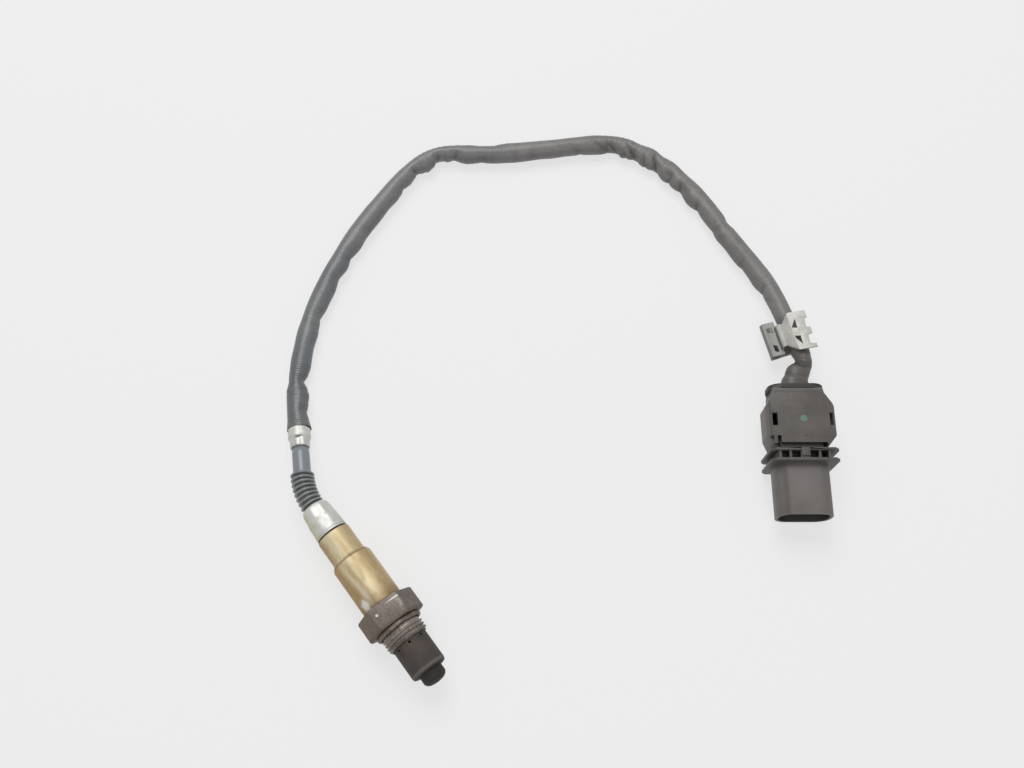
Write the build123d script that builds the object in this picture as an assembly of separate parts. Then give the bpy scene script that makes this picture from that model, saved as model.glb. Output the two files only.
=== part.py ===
from build123d import *
from math import acos, cos, degrees, hypot, radians, sin, sqrt, tan
import os

# Oxygen sensor with its lead, sheet-metal clip and plug. Millimetres, +Z up, +X towards the
# sensing tip. The body lies on one flat of its hexagon; x = 0 is the middle of the metal body.

# ---- driving dimensions: metal body (stations are distances from the sealing face) ----
hex_af = 22.0            # across flats
hex_len = 9.5
hex_chamfer, hex_corner_cut = 0.4, 0.6   # only the points of the corners are cut
neck_r = 8.05            # relief between sealing face and thread
neck_len = 1.9
thread_r = 9.0           # M18 x 1.5 envelope
shank_len = 8.0
gasket_r = 10.1
gasket_t = 1.9
outer_tube_r = 7.55
outer_tube_end = 22.1
gas_holes, gas_hole_r = 8, 0.55
gas_hole_back = 1.3      # behind the shank's end
inner_tube_r = 5.0
tip_reach = 27.2         # end of the domed inner tube
rear_reach = 59.8        # rear edge of the crimped sleeve
collar_r = 8.0           # spigot behind the hexagon that carries the stepped sleeve
collar_len = 6.5
sleeve_wall = 0.65
sleeve_low_end = 31.2
sleeve_step_end = 34.3
sleeve_top_r = 7.15
sleeve_end = 45.3
crimp_wall = 0.5
crimp_r = 6.85
crimp_start = 46.0
crimp_groove = 53.2      # groove between the two rows of jaw marks
crimp_groove_depth = 0.3
crimp_flats_af = 12.8
crimp_lip_r = 5.0        # the rear edge is curled in to this radius
crimp_curl = 2.0

# ---- inner stack ----
bore_r = 5.1
bore_stop = 4.5
web_r = 3.4
element_w, element_t = 4.0, 1.4
element_front, element_rear = 17.0, 30.0
bush_gap = 0.1
front_bush_rear = 3.0
powder_rear = 6.5
rear_bush_rear = 12.0
ring_len = 1.4
holder_front = 19.0
holder_r = 5.6
band_len, band_t = 6.0, 0.5
contact_front = 22.0
contact_t, contact_w = 0.4, 1.0
barrel_r, barrel_len = 1.0, 4.0
barrel_gap = 0.5         # between the crimped barrels and the grommet
plug_front, plug_len = 44.0, 7.0
wire_r = 0.7
wire_ring_r = 1.9
wire_fit = 0.05

# ---- boot, ferrule, lead ----
boot_turn = 28.0         # plan angle turned by the boot, degrees
boot_dip = 9.0           # slope down towards the floor, degrees
boot_bend_r = 29.6
boot_seat = 0.3          # the bend starts this far inside the crimped edge
boot_neck_len = 13.0
boot_r = 5.0
boot_core_r = 3.75
boot_stem_r = 4.4
boot_bore_r = 2.65
rib_first, rib_count, rib_pitch, rib_t = 1.7, 8, 1.95, 1.05
ferrule_len = 8.8
ferrule_r0, ferrule_r1 = 4.2, 4.85
ferrule_bore = 3.3
cable_r = 4.3

# ---- plug: a runs from the rear rim to the mouth, b across, c up from the axis ----
plug_at = (37.4, 191.6)  # rear rim centre
plug_heading = -37.2
flange_h = 22.5
flange_w = 28.2
flange_t = 1.1
flange_a = (29.2, 33.5)
cover_w, cover_h = 28.4, 17.0
cover_end = 27.8
cover_cut = (4.7, 3.8)    # length and depth of the slanted corners beside the flanges
cover_wall = 1.5
cover_slots = ((-12.0, -9.8), (11.8, 13.3))
cover_set_back = 1.6     # the top stops this far short of the sides
latch_b, latch_w, latch_len = -11.1, 1.4, 4.6
latch_pocket_w = 4.4
lip_w, lip_h, lip_t = 23.2, 15.0, 1.8
entry_b = 1.2            # the lead enters a little off centre
socket_depth = 3.0
hood_w, hood_h, hood_end = 23.2, 15.8, 56.1
hood_b = -0.5            # the hood and its pins sit a little off the flange's middle
hood_wall = 1.4
hood_floor = 37.0
block_back = 18.0
block_w, block_h = 18.4, 13.2
window_b = (-10.4, -6.3, 5.7, 9.7)   # ribs between the two flanges
window_top = 6.0         # the windows' floor above the axis
pin_w, pin_t, pin_end = 1.5, 0.8, 48.0
pin_rows = (2.6, -2.6)
pin_pitch = 5.0

# ---- clip ----
clip_t = 0.8
clip_len = 18.6
clip_share = 0.64        # where it sits on the lead's last but one run
clip_gap = 0.35
clip_edge = 7.2          # free edge of the upper plate
clip_web = (-5.6, 5.2)   # ends of the narrower web between the two plates
clip_jaw_ends = (7.3, 5.7)   # where the middle and lower plates stop, towards the plug
clip_windows = (((2.1, -6.0), (-0.6, -1.7), (1.85, -1.2)),
                ((-0.6, 2.4), (1.95, 2.7), (1.75, 7.1), (-0.4, 3.7)))
clip_notches = (((8.5, -6.2), (6.5, -5.4), (5.7, -1.0), (8.5, -0.6)),
                ((8.5, 2.2), (6.6, 2.4), (5.2, 3.2), (5.0, 7.3), (8.5, 7.7)))
clip_side_windows = (((-9.7, -6.3), (-7.2, -6.7), (-7.1, -3.9), (-9.4, -4.5)),
                     ((-9.0, 1.8), (-7.3, 2.6), (-7.3, 5.8), (-8.9, 5.2)))

# ---- derived ----
axis_z = hex_af / 2
seat_x = (rear_reach - tip_reach) / 2
plug_z = flange_h / 2
barrel_front = plug_front - barrel_gap - barrel_len
names = []


def sx(station):
    """x of a station measured forward from the sealing face."""
    return seat_x + station


def turned(*pts):
    """Solid of revolution about the body axis from (station, radius) corners."""
    face = make_face(Polyline(*[(sx(x), 0, r) for x, r in pts], close=True))
    return Pos(0, 0, axis_z) * revolve(face, Axis.X)


def rod_x(r, x0, x1, y=0.0, z=0.0):
    """Round bar along the body axis between two stations."""
    return Pos(sx((x0 + x1) / 2), y, axis_z + z) * Rot(0, 90, 0) * Cylinder(r, abs(x1 - x0))


def box_x(x0, x1, y0, y1, z0, z1):
    """Box from stations and offsets from the body axis."""
    mid = Pos(sx((x0 + x1) / 2), (y0 + y1) / 2, axis_z + (z0 + z1) / 2)
    return mid * Box(abs(x1 - x0), abs(y1 - y0), abs(z1 - z0))


def save(name, shape):
    shape = shape.clean() if hasattr(shape, "clean") else shape
    solids = shape.solids()
    if len(solids) != 1:
        print("NOTE", name, "has", len(solids), "solids")
    export_step(solids[0] if len(solids) == 1 else shape, f"parts/{name}.step")
    names.append(name)
    return shape


# ---- metal body ----
def hex_shell():
    prism = Pos(sx(-hex_len), 0, axis_z) * Rot(0, 90, 0) * extrude(
        RegularPolygon(hex_af / 2, 6, major_radius=False, rotation=30), hex_len)
    corner = hex_af / sqrt(3)
    c, low = hex_chamfer, corner - hex_corner_cut
    limit = turned((-hex_len, 0), (-hex_len, low), (-hex_len + c, corner), (-c, corner), (0, low), (0, 0))
    shank = turned((-1, 0), (-1, neck_r), (neck_len, neck_r), (neck_len + 0.7, thread_r),
                   (shank_len - 0.9, thread_r), (shank_len, thread_r - 0.9), (shank_len, 0))
    collar = turned((-hex_len - collar_len, 0), (-hex_len - collar_len, collar_r),
                    (-1, collar_r), (-1, 0))
    bore = turned((-hex_len - collar_len - 1, 0), (-hex_len - collar_len - 1, bore_r),
                  (bore_stop, bore_r), (bore_stop, web_r), (6.0, web_r), (6.0, outer_tube_r),
                  (shank_len + 1, outer_tube_r), (shank_len + 1, 0))
    return (prism & limit) + shank + collar - bore


def gasket():
    r0 = neck_r + 0.25
    mid = gasket_t / 2
    return turned((0, r0), (0, gasket_r - 0.5), (0.45, gasket_r), (gasket_t - 0.45, gasket_r),
                  (gasket_t, gasket_r - 0.5), (gasket_t, r0 + 0.9), (mid, r0))


def outer_tube():
    w, r, end = 0.7, outer_tube_r, outer_tube_end
    tip = inner_tube_r + 0.05
    body = turned((6.0, 4.2), (6.0, r), (end - 1.2, r), (end - 0.35, r - 0.35), (end, r - 1.2),
                  (end, tip), (end - w, tip), (end - w, r - 1.3), (end - 1.3, r - w),
                  (6.7, r - w), (6.7, 4.2))
    hole = Cylinder(gas_hole_r, 4 * r)
    for i in range(gas_holes // 2):
        body -= Pos(sx(shank_len + gas_hole_back), 0, axis_z) * Rot(i * 360 / gas_holes, 0, 0) * hole
    return body


def inner_tube():
    w, r = 0.5, inner_tube_r
    end = tip_reach
    return turned((6.7, r - w), (6.7, outer_tube_r - 0.75), (7.2, outer_tube_r - 0.75), (7.2, r),
                  (end - 2.0, r), (end - 1.0, r - 0.6), (end - 0.3, r - 1.7), (end, r - 3.0),
                  (end, 1.1), (end - w, 1.1), (end - w - 0.3, r - 2.2), (end - 1.7, r - w - 0.4),
                  (end - 2.2, r - w))


def bush(x0, x1):
    slot = box_x(x0 - 1, x1 + 1, -element_w / 2 - bush_gap, element_w / 2 + bush_gap,
                 -element_t / 2 - bush_gap, element_t / 2 + bush_gap)
    return turned((x0, 0), (x0, bore_r - 0.05), (x1, bore_r - 0.05), (x1, 0)) - slot


def stepped_sleeve():
    w, r0, r1 = sleeve_wall, collar_r, sleeve_top_r
    a, b, c, d = -hex_len, -sleeve_low_end, -sleeve_step_end, -sleeve_end
    return turned((a, r0), (a, r0 + w), (b, r0 + w), (c, r1), (d, r1), (d, r1 - w),
                  (c, r1 - w), (b, r0))


def contact_halves():
    x0, x1 = -plug_front, -holder_front
    gap = element_t / 2 + contact_t
    whole = turned((x0, 0), (x0, holder_r), (x1, holder_r), (x1, 0))
    whole -= rod_x(wire_ring_r + barrel_r + 0.25, x0 - 1, -barrel_front + 1.5)
    upper = whole & box_x(x0, x1, -9, 9, gap, 9)
    lower = whole & box_x(x0, x1, -9, 9, -9, -gap)
    b0 = -holder_front - 5
    b1, outer = b0 - band_len, holder_r + band_t
    clip_band = turned((b1, holder_r), (b1, outer), (b0, outer), (b0, holder_r))
    clip_band -= box_x(b1 - 1, b0 + 1, 0, 9, -0.8, 0.8)
    return upper, lower, clip_band


def wire_spots(r=None):
    """Five places round a ring, one at the top."""
    r = wire_ring_r if r is None else r
    return [(r * cos(radians(90 + 72 * i)), r * sin(radians(90 + 72 * i))) for i in range(5)]


def contact(y, z):
    """Flat spring that lies on the element, with a crimp barrel behind it."""
    face = element_t / 2 if z > 0 else -element_t / 2
    yc = max(-1.45, min(1.45, y))
    z0, z1 = sorted((face, face + (contact_t if z > 0 else -contact_t)))
    strip = box_x(-barrel_front - 0.4, -contact_front, yc - contact_w / 2, yc + contact_w / 2, z0, z1)
    back = -barrel_front - barrel_len
    barrel = rod_x(barrel_r, back, -barrel_front, y, z) - rod_x(wire_r, back - 1, -barrel_front - 0.8, y, z)
    return strip + barrel


def crimp_sleeve():
    """Thin tube with two rows of jaw marks, its rear edge curled in over the boot."""
    w, r, end = crimp_wall, crimp_r, rear_reach
    inner = sleeve_top_r - sleeve_wall
    g, d, c = crimp_groove, crimp_groove_depth, crimp_curl
    body = turned((-41, inner - w), (-41, inner), (-crimp_start, inner), (-crimp_start, r),
                  (-g + 0.7, r), (-g + 0.2, r - d), (-g - 0.2, r - d), (-g - 0.7, r - 0.1),
                  (-end + c, r - 0.5), (-end + 0.35 * c, r - 1.2), (-end, crimp_lip_r),
                  (-end, boot_stem_r), (-end + 0.9, boot_stem_r), (-end + 1.6, inner - w))
    flats = Pos(sx(-end - 1), 0, axis_z) * Rot(0, 90, 0) * extrude(
        RegularPolygon(crimp_flats_af / 2, 8, major_radius=False), end - g + 1)
    keep = turned((-g, 0), (-g, 9), (-40, 9), (-40, 0))
    return body & (flats + keep)


def seal_plug():
    r = sleeve_top_r - sleeve_wall - crimp_wall - 0.05
    rear = plug_front + plug_len
    body = turned((-rear, 0), (-rear, r), (-plug_front, r), (-plug_front, 0))
    for y, z in wire_spots():
        body -= rod_x(wire_r + wire_fit, -rear - 1, -plug_front + 1, y, z)
    return body


# ---- boot: straight stem, one bend towards the floor, straight neck ----
def boot_frame():
    """Bend start, directions before and after, unit normal in the bend's plane, total turn."""
    dip, plan = radians(boot_dip), radians(boot_turn)
    d0 = Vector(-1, 0, 0)
    d1 = Vector(-cos(dip) * cos(plan), cos(dip) * sin(plan), -sin(dip))
    turn = acos(d0.dot(d1))
    n = (d1 - d0 * cos(turn)) * (1 / sin(turn))
    start = Vector(sx(boot_seat - rear_reach), 0, axis_z)
    return start, d0, d1, n, turn


def boot_point(s):
    """Point and direction at a length s along the boot, measured from the bend's start."""
    start, d0, d1, n, turn = boot_frame()
    bend = boot_bend_r * turn
    if s <= 0:
        return start + d0 * s, d0
    ang = min(s, bend) / boot_bend_r
    p = start + d0 * (boot_bend_r * sin(ang)) + n * (boot_bend_r * (1 - cos(ang)))
    d = d0 * cos(ang) + n * sin(ang)
    return p + d * max(0.0, s - bend), d


def boot_line(s0, s1):
    """Centreline between two lengths, as one wire."""
    start, d0, d1, n, turn = boot_frame()
    bend = boot_bend_r * turn
    parts = []
    if s0 < 0:
        parts.append(Line(boot_point(s0)[0], boot_point(min(0, s1))[0]))
    a, b = max(0.0, s0), min(s1, bend)
    if b > a + 0.01:
        parts.append(ThreePointArc(boot_point(a)[0], boot_point((a + b) / 2)[0], boot_point(b)[0]))
    if s1 > bend:
        parts.append(Line(boot_point(max(bend, s0))[0], boot_point(s1)[0]))
    return Wire(parts)


def across(s):
    """Plane square to the boot at s; its x direction stays as level as it can."""
    p, d = boot_point(s)
    side = Vector(0, 0, 1).cross(d)
    return Plane(origin=p, x_dir=side, z_dir=d)


def boot_tube(r, s0, s1, y=0.0, z=0.0):
    """Round bar that follows the boot, set off sideways by (y, z)."""
    return sweep(across(s0) * Pos(y, z) * Circle(r), path=boot_line(s0, s1))


def boot_back(back):
    """Length along the boot's line of a place that far behind the sealing face."""
    return back - (rear_reach - boot_seat)


def boot_lengths():
    turn = boot_frame()[4]
    neck_end = boot_bend_r * turn + boot_neck_len
    return neck_end, neck_end + ferrule_len


def wires_in_body():
    """Plain eight-sided bars for the insulated wires, from the contacts to the boot's end."""
    neck_end, far = boot_lengths()
    first = boot_back(barrel_front + 0.8)
    section = RegularPolygon(wire_r, 8)
    line = boot_line(first, far)
    return [sweep(across(first) * Pos(-y, z) * section, path=line) for y, z in wire_spots()]


def boot():
    neck_end, far = boot_lengths()
    rear = boot_back(plug_front + plug_len)
    body = boot_tube(boot_stem_r, rear, 0.0)
    body += boot_tube(boot_core_r, -boot_seat, neck_end)
    body += boot_tube(ferrule_bore - 0.05, neck_end - 0.5, far)
    for i in range(rib_count):
        s = rib_first + i * rib_pitch
        body += boot_tube(boot_r, s - rib_t / 2, s + rib_t / 2)
    return body - boot_tube(boot_bore_r, rear - 1, far)


def ferrule():
    """Slim band on the boot's neck, wide band over the sleeve's root, a pressed step between."""
    neck_end, far = boot_lengths()
    p, d = boot_point(neck_end)
    at = Plane(origin=p, x_dir=Vector(0, 0, 1).cross(d), z_dir=d)
    r0, r1, h = ferrule_r0, ferrule_r1, ferrule_len
    step = 0.47 * h
    prof = [(ferrule_bore, 0), (r0 - 0.2, 0), (r0, 0.3), (r0, step - 0.4), (r1, step + 0.4),
            (r1, h - 0.3), (r1 - 0.25, h), (ferrule_bore, h)]
    ring = revolve(make_face(Polyline(*[(x, 0, z) for x, z in prof], close=True)), Axis.Z)
    slot = Pos(0, r0 + 0.45, step - 0.1) * Box(3.4, 1.1, 0.7)
    return at * (ring - slot)


# ---- lead ----
route = [  # plan points the lead lies through, at floor level
    (-96.4, 25.1), (-116.8, 44.6), (-134.0, 72.9), (-143.0, 94.1), (-149.5, 114.7),
    (-153.3, 130.2), (-151.0, 143.9), (-139.2, 156.2), (-125.9, 177.6), (-110.4, 204.3),
    (-101.8, 213.2), (-82.4, 220.9), (-61.5, 222.4), (-36.4, 220.9), (-9.8, 219.0)]
rise = [(5.5, 214.9, 0.95), (26.8, 204.6, 4.4)]  # last points, with their lift off the floor


def lead_points():
    far, d = boot_point(boot_lengths()[1])
    run = (far.Z - cable_r) / -d.Z
    pts = [far, far + d * run]
    pts += [Vector(x, y, cable_r) for x, y in route]
    pts += [Vector(x, y, cable_r + h) for x, y, h in rise]
    pts += [plug_point(-6, entry_b, 0), plug_point(socket_depth, entry_b, 0)]
    return pts


def lead_radii(pts):
    out = []
    for p, q, s in zip(pts, pts[1:], pts[2:]):
        u, v = (p - q), (s - q)
        half = (180 - degrees(acos(max(-1, min(1, u.dot(v) / (u.length * v.length)))))) / 2
        out.append(0.45 * min(u.length, v.length) / tan(radians(half)))
    return out


def lead():
    pts = lead_points()
    radii = lead_radii(pts)
    line = FilletPolyline(*pts, radius=radii)
    print("lead radii", [round(r) for r in radii], "least", round(min(radii), 1))
    d = (pts[1] - pts[0]).normalized()
    body = sweep(Plane(origin=pts[0], z_dir=d) * Circle(cable_r), path=line)
    print("lead length", round(line.length, 1), "volume / (section x length)",
          round(body.volume / (3.14159265 * cable_r ** 2 * line.length), 4))
    return body


# ---- plug ----
def plug_point(a, b, c):
    h = radians(plug_heading)
    return Vector(plug_at[0] + a * cos(h) - b * sin(h), plug_at[1] + a * sin(h) + b * cos(h), plug_z + c)


def placed(shape):
    return Pos(plug_at[0], plug_at[1], plug_z) * Rot(0, 0, plug_heading) * shape


def slab(a0, a1, b0, b1, c0, c1):
    return Pos((a0 + a1) / 2, (b0 + b1) / 2, (c0 + c1) / 2) * Box(a1 - a0, b1 - b0, c1 - c0)


def across_plug(sketch, a0, a1):
    """Extrude a (b, c) outline along the plug from a0 to a1."""
    return extrude(Plane(origin=(a0, 0, 0), x_dir=(0, 1, 0), z_dir=(1, 0, 0)) * sketch, a1 - a0)


def outline(pts):
    return make_face(Polyline(*pts, close=True))


def cover_block(inset):
    """The cover's outside, or its inside when inset by the wall."""
    w, h, i = cover_w / 2, cover_h / 2, inset
    back = 0.0 if i == 0 else socket_depth + 2.0
    long, deep = cover_cut
    plan = [(max(1.0, back), -10.4 + i), (4.6 + i, -10.4 + i), (10.4 + i, -w + i),
            (cover_end - long, -w + i), (cover_end + i, -w + deep + 1.35 * i)]
    plan += [(a, -b) for a, b in reversed(plan)]
    body = extrude(outline(plan), h - i, both=True)
    k = 0.6 * i
    section = [(-w + i, -h + 5 + k), (-w + 3.5 + k, -h + i), (w - 3.5 - k, -h + i), (w - i, -h + 5 + k),
               (w - i, h - 0.8 - i), (w - 0.8 - i, h - i), (-w + 1.8 + i, h - i), (-w + i, h - 2.6 - i)]
    body &= across_plug(outline(section), back - 1, cover_end + 2)
    side = [(back - 1, -6.4 + i), (2.0 + i, -6.4 + i), (6.0 + i, -h + i), (cover_end + 2, -h + i),
            (cover_end + 2, h - i), (4.6 + i, h - i), (1.5 + i, 6.9 - i), (back - 1, 6.9 - i)]
    face = Plane.XZ * outline(side)
    return body & extrude(face, cover_w, both=True)


def cover():
    lip = across_plug(RectangleRounded(lip_w, lip_h, 5.6), 0, lip_t)
    body = cover_block(0) + lip
    body -= slab(cover_end, cover_end + 5, -20, 20, -20, 20)
    body -= cover_block(cover_wall)
    body -= across_plug(Pos(entry_b, 0) * Circle(cable_r), -1, socket_depth)
    for y, z in wire_spots(2.3):
        body -= across_plug(Pos(entry_b + y, z) * Circle(wire_r + wire_fit), 1, 8)
    for b0, b1 in cover_slots:
        body -= slab(13.4, 18.9, b0, b1, 4, 12)
    body -= slab(cover_end - cover_set_back, cover_end + 1, -9.6, 10.0, 6.8, 12)
    half, back = latch_pocket_w / 2, cover_end - latch_len
    body -= slab(back, cover_end + 1, latch_b - half, latch_b + half, 6.4, 12)
    body += slab(back - 1.0, cover_end - 1.2, latch_b - latch_w / 2, latch_b + latch_w / 2, 7.1, cover_h / 2 - 0.1)
    return placed(body)


def flange_plate(a0):
    w, h = flange_w / 2, flange_h / 2
    half = [(-w + 2, h), (-w, h - 2.3), (-w, -h + 2.1), (-w + 1.6, -h)]
    return across_plug(outline(half + [(-b, c) for b, c in reversed(half)]), a0, a0 + flange_t)


def housing():
    f0, f1 = flange_a
    body = across_plug(RectangleRounded(block_w, block_h, 1.2), block_back, f0 + 0.2)
    body += flange_plate(f0) + flange_plate(f1)
    body += slab(f0, f1 + 0.2, -block_w / 2 + 0.6, block_w / 2 - 0.6, -7.4, window_top)
    for b in window_b:
        body += slab(f0 + 0.5, f1 + 0.5, b - 0.5, b + 0.5, -flange_h / 2 + 1, flange_h / 2 - 0.6)
    body += slab(f0 + 0.5, f1 + 0.5, -2.1, 1.6, -flange_h / 2 + 1, flange_h / 2 - 0.4)
    body += slab(f0 + 0.1, f1 - 0.8, -1.8, 1.5, flange_h / 2 - 1.2, flange_h / 2 + 0.3)
    for s in (-1, 1):
        arm = slab(cover_end - 4.0, f0 + 0.2, block_w / 2 - 1.2, block_w / 2 + 0.1, -3.5, 3.5)
        body += arm if s > 0 else mirror(arm, Plane.XZ)
    body += across_plug(Pos(hood_b, 0) * RectangleRounded(hood_w, hood_h, 6.4), f1 + flange_t - 0.2, hood_end)
    mouth = RectangleRounded(hood_w - 2 * hood_wall, hood_h - 2 * hood_wall, 6.4 - hood_wall)
    body -= across_plug(Pos(hood_b, 0) * mouth, hood_floor, hood_end + 1)
    body -= slab(block_back - 1, hood_floor - 6.0, -7.9, 7.9, -5.2, 5.2)
    for z in pin_rows:
        for j in (-1, 0, 1):
            b = j * pin_pitch + hood_b
            body -= slab(hood_floor - 7, hood_floor + 1, b - pin_w / 2, b + pin_w / 2, z - pin_t / 2, z + pin_t / 2)
    for s in (-1, 1):
        b, top = hood_b + s * 4.6, hood_h / 2 - hood_wall
        body += slab(hood_floor - 0.2, hood_end - 3, b - 0.5, b + 0.5, top - 0.9, top + 0.1)
    return placed(body)


def pin(b, c):
    blade = slab(28.2, pin_end - 1.2, b - pin_w / 2, b + pin_w / 2, c - pin_t / 2, c + pin_t / 2)
    tip = across_plug(Pos(b, c) * Rectangle(pin_w, pin_t), pin_end - 1.2, pin_end)
    tip = chamfer(tip.faces().sort_by(Axis.X)[-1].edges(), 0.28)
    barrel = across_plug(Pos(b, c) * (Circle(1.15)), 22.0, 28.4)
    barrel -= across_plug(Pos(b, c) * Circle(wire_r), 21, 27)
    return placed(blade + tip + barrel)


def pin_lock():
    body = slab(28.4, 31.0, -7.8, 7.8, -5.1, 5.1)
    for z in pin_rows:
        for j in (-1, 0, 1):
            b = j * pin_pitch + hood_b
            body -= slab(28, 32, b - pin_w / 2 - 0.1, b + pin_w / 2 + 0.1,
                         z - pin_t / 2 - 0.1, z + pin_t / 2 + 0.1)
    return placed(body)


def plug_wires():
    """Five wires fan out from the lead's end to five of the six pins."""
    top, low = pin_rows
    ends = [(0, top), (-pin_pitch, top), (-pin_pitch, low), (pin_pitch, low), (pin_pitch, top)]
    out = []
    for (y, z), (b, c) in zip(wire_spots(2.3), ends):
        y, b = y + entry_b, b + hood_b
        pts = [(socket_depth, y, z), (7.5, y, z), (17.5, b, c), (27, b, c)]
        bar = FilletPolyline(*pts, radius=4.0)
        start = Plane(origin=pts[0], z_dir=(1, 0, 0))
        out.append(placed(sweep(start * RegularPolygon(wire_r, 8), path=bar)))
    return out


# ---- clip: one bent strip over, beside and under the lead ----
def clip_plane():
    pts = lead_points()
    p, q = pts[-4], pts[-3]
    d = (q - p).normalized()
    return Plane(origin=p + (q - p) * clip_share, x_dir=Vector(0, 0, 1).cross(d), z_dir=d)


def clip():
    """Section drawn square to the lead: x towards the toothed edge, y up, z towards the plug."""
    t, g, n = clip_t, cable_r + clip_t / 2 + clip_gap, clip_len
    top = g + 1.55
    bends = [(clip_edge, top - 0.2), (-0.6, top), (-3.4, g - 1.15), (-4.6, g - 0.35), (-5.9, g - 1.35),
             (-5.9, 1.0), (-10.4, 0.5), (-11.0, -1.0), (-9.6, -g), (-0.5, -g)]
    strip = make_face(offset(Polyline(*bends), t / 2, side=Side.BOTH, kind=Kind.INTERSECTION))
    body = extrude(strip, n / 2, both=True)
    end = n / 2 + 1
    low, high = clip_web
    for z0, z1 in ((low, -end), (high, end)):
        corner = (-0.4, z1 * 0.9)
        body -= clip_cut([(-6.5, z1), (-6.5, z0), (-3.4, z0), corner, (-0.4, z1)], 1.45, 10)
    middle, under = clip_jaw_ends
    body -= clip_cut([(-13, middle), (-13, end), (-5.5, end), (-5.5, middle)], -9, 1.6)
    body -= clip_cut([(-13, under + 0.8), (-13, end), (3, end), (3, under - 1.2)], -9, -1.6)
    for corners in clip_windows + clip_notches:
        body -= clip_cut(corners, g - 2.5, 10)
    for corners in clip_side_windows:
        body -= clip_cut(corners, -0.5, 3)
    return clip_plane() * body


def clip_cut(corners, y0, y1):
    """Prism over (x, z) corners of the clip's own frame, from y0 up to y1."""
    plane = Plane(origin=(0, y1, 0), x_dir=(1, 0, 0), z_dir=(0, -1, 0))
    return extrude(plane * outline(corners), y1 - y0)


os.makedirs("parts", exist_ok=True)
save("hex_shell", hex_shell())
save("sealing_gasket", gasket())
save("outer_protection_tube", outer_tube())
save("inner_protection_tube", inner_tube())
save("sensing_element", box_x(-element_rear, element_front, -element_w / 2, element_w / 2,
                              -element_t / 2, element_t / 2))
save("front_ceramic_bush", bush(-front_bush_rear, bore_stop))
save("powder_seal", bush(-powder_rear, -front_bush_rear))
save("rear_ceramic_bush", bush(-rear_bush_rear, -powder_rear))
ring_back, ring_front = -rear_bush_rear - ring_len, -rear_bush_rear
save("retaining_ring", turned((ring_back, web_r - 0.2), (ring_back, bore_r),
                              (ring_front, bore_r), (ring_front, web_r - 0.2)))
save("stepped_sleeve", stepped_sleeve())
upper, lower, band = contact_halves()
save("contact_holder_upper", upper)
save("contact_holder_lower", lower)
save("contact_holder_band", band)
for i, (y, z) in enumerate(wire_spots()):
    save(f"contact_{i + 1}", contact(y, z))
save("crimp_sleeve", crimp_sleeve())
save("seal_plug", seal_plug())
save("boot", boot())
for i, w in enumerate(wires_in_body()):
    save(f"body_wire_{i + 1}", w)
save("ferrule", ferrule())
save("cable", lead())
save("cable_clip", clip())
save("plug_cover", cover())
save("plug_housing", housing())
for i in range(6):
    save(f"plug_pin_{i + 1}", pin((i % 3 - 1) * pin_pitch + hood_b, pin_rows[i // 3]))
save("pin_lock", pin_lock())
for i, w in enumerate(plug_wires()):
    save(f"plug_wire_{i + 1}", w)
print(len(names), "nodes")
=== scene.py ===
import bpy
import bmesh
from math import atan2, cos, exp, pi, radians, sin, sqrt
from mathutils import Matrix, Vector, noise
from mathutils.kdtree import KDTree


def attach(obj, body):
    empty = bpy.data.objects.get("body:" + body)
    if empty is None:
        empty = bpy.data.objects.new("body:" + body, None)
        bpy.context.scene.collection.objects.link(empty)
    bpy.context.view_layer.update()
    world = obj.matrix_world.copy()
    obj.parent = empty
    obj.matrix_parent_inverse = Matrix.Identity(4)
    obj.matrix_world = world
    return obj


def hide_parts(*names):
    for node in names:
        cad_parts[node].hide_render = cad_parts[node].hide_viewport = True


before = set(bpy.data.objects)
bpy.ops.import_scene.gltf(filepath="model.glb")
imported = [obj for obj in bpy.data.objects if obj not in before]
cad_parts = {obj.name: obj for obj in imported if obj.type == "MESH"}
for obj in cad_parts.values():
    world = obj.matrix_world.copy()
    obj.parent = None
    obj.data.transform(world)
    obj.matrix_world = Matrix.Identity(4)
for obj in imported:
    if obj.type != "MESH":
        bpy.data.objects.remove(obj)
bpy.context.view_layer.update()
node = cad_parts
MM = 0.001

# ---- Camera -------------------------------------------------------------------------------
# Seventy degrees above the table and 450 mm over it, turned so that the metal body lies at the
# lower left and the plug at the right. The picture is 1024 x 768.
lens_px, picture_w = 1092.0, 1024.0
camera = bpy.data.objects.new("camera", bpy.data.cameras.new("camera"))
bpy.context.scene.collection.objects.link(camera)
camera.data.sensor_fit = "HORIZONTAL"
camera.data.sensor_width = 36.0
camera.data.lens = 36.0 * lens_px / picture_w
camera.data.clip_start = 0.01
camera.data.clip_end = 10.0
turn, tilt = radians(52.756), radians(20.0)
camera.matrix_world = (Matrix.Translation((0.0901, 0.0008, 0.450))
                       @ Matrix.Rotation(turn, 4, "Z") @ Matrix.Rotation(tilt, 4, "X"))
bpy.context.scene.camera = camera

# ---- Table top and light ------------------------------------------------------------------
# A light table: a white acrylic sheet that glows evenly, under two broad soft lamps. The glow
# fills most of the shadow that the part would throw on it.


def linear(hex_colour, alpha=1.0):
    """An sRGB hex colour as the linear values that Blender works in."""
    parts = [int(hex_colour[i:i + 2], 16) / 255 for i in (1, 3, 5)]
    return tuple(c / 12.92 if c <= 0.04045 else ((c + 0.055) / 1.055) ** 2.4 for c in parts) + (alpha,)


def add(finish, kind, sockets=None, **settings):
    """Adds a shader node with its settings. A socket's value is a number, a colour or (node, output)."""
    made = finish.node_tree.nodes.new("ShaderNode" + kind)
    for name, value in settings.items():
        setattr(made, name, value)
    for name, value in (sockets or {}).items():
        if isinstance(value, tuple) and hasattr(value[0], "outputs"):
            finish.node_tree.links.new(value[0].outputs[value[1]], made.inputs[name])
        else:
            made.inputs[name].default_value = value
    return made


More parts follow.
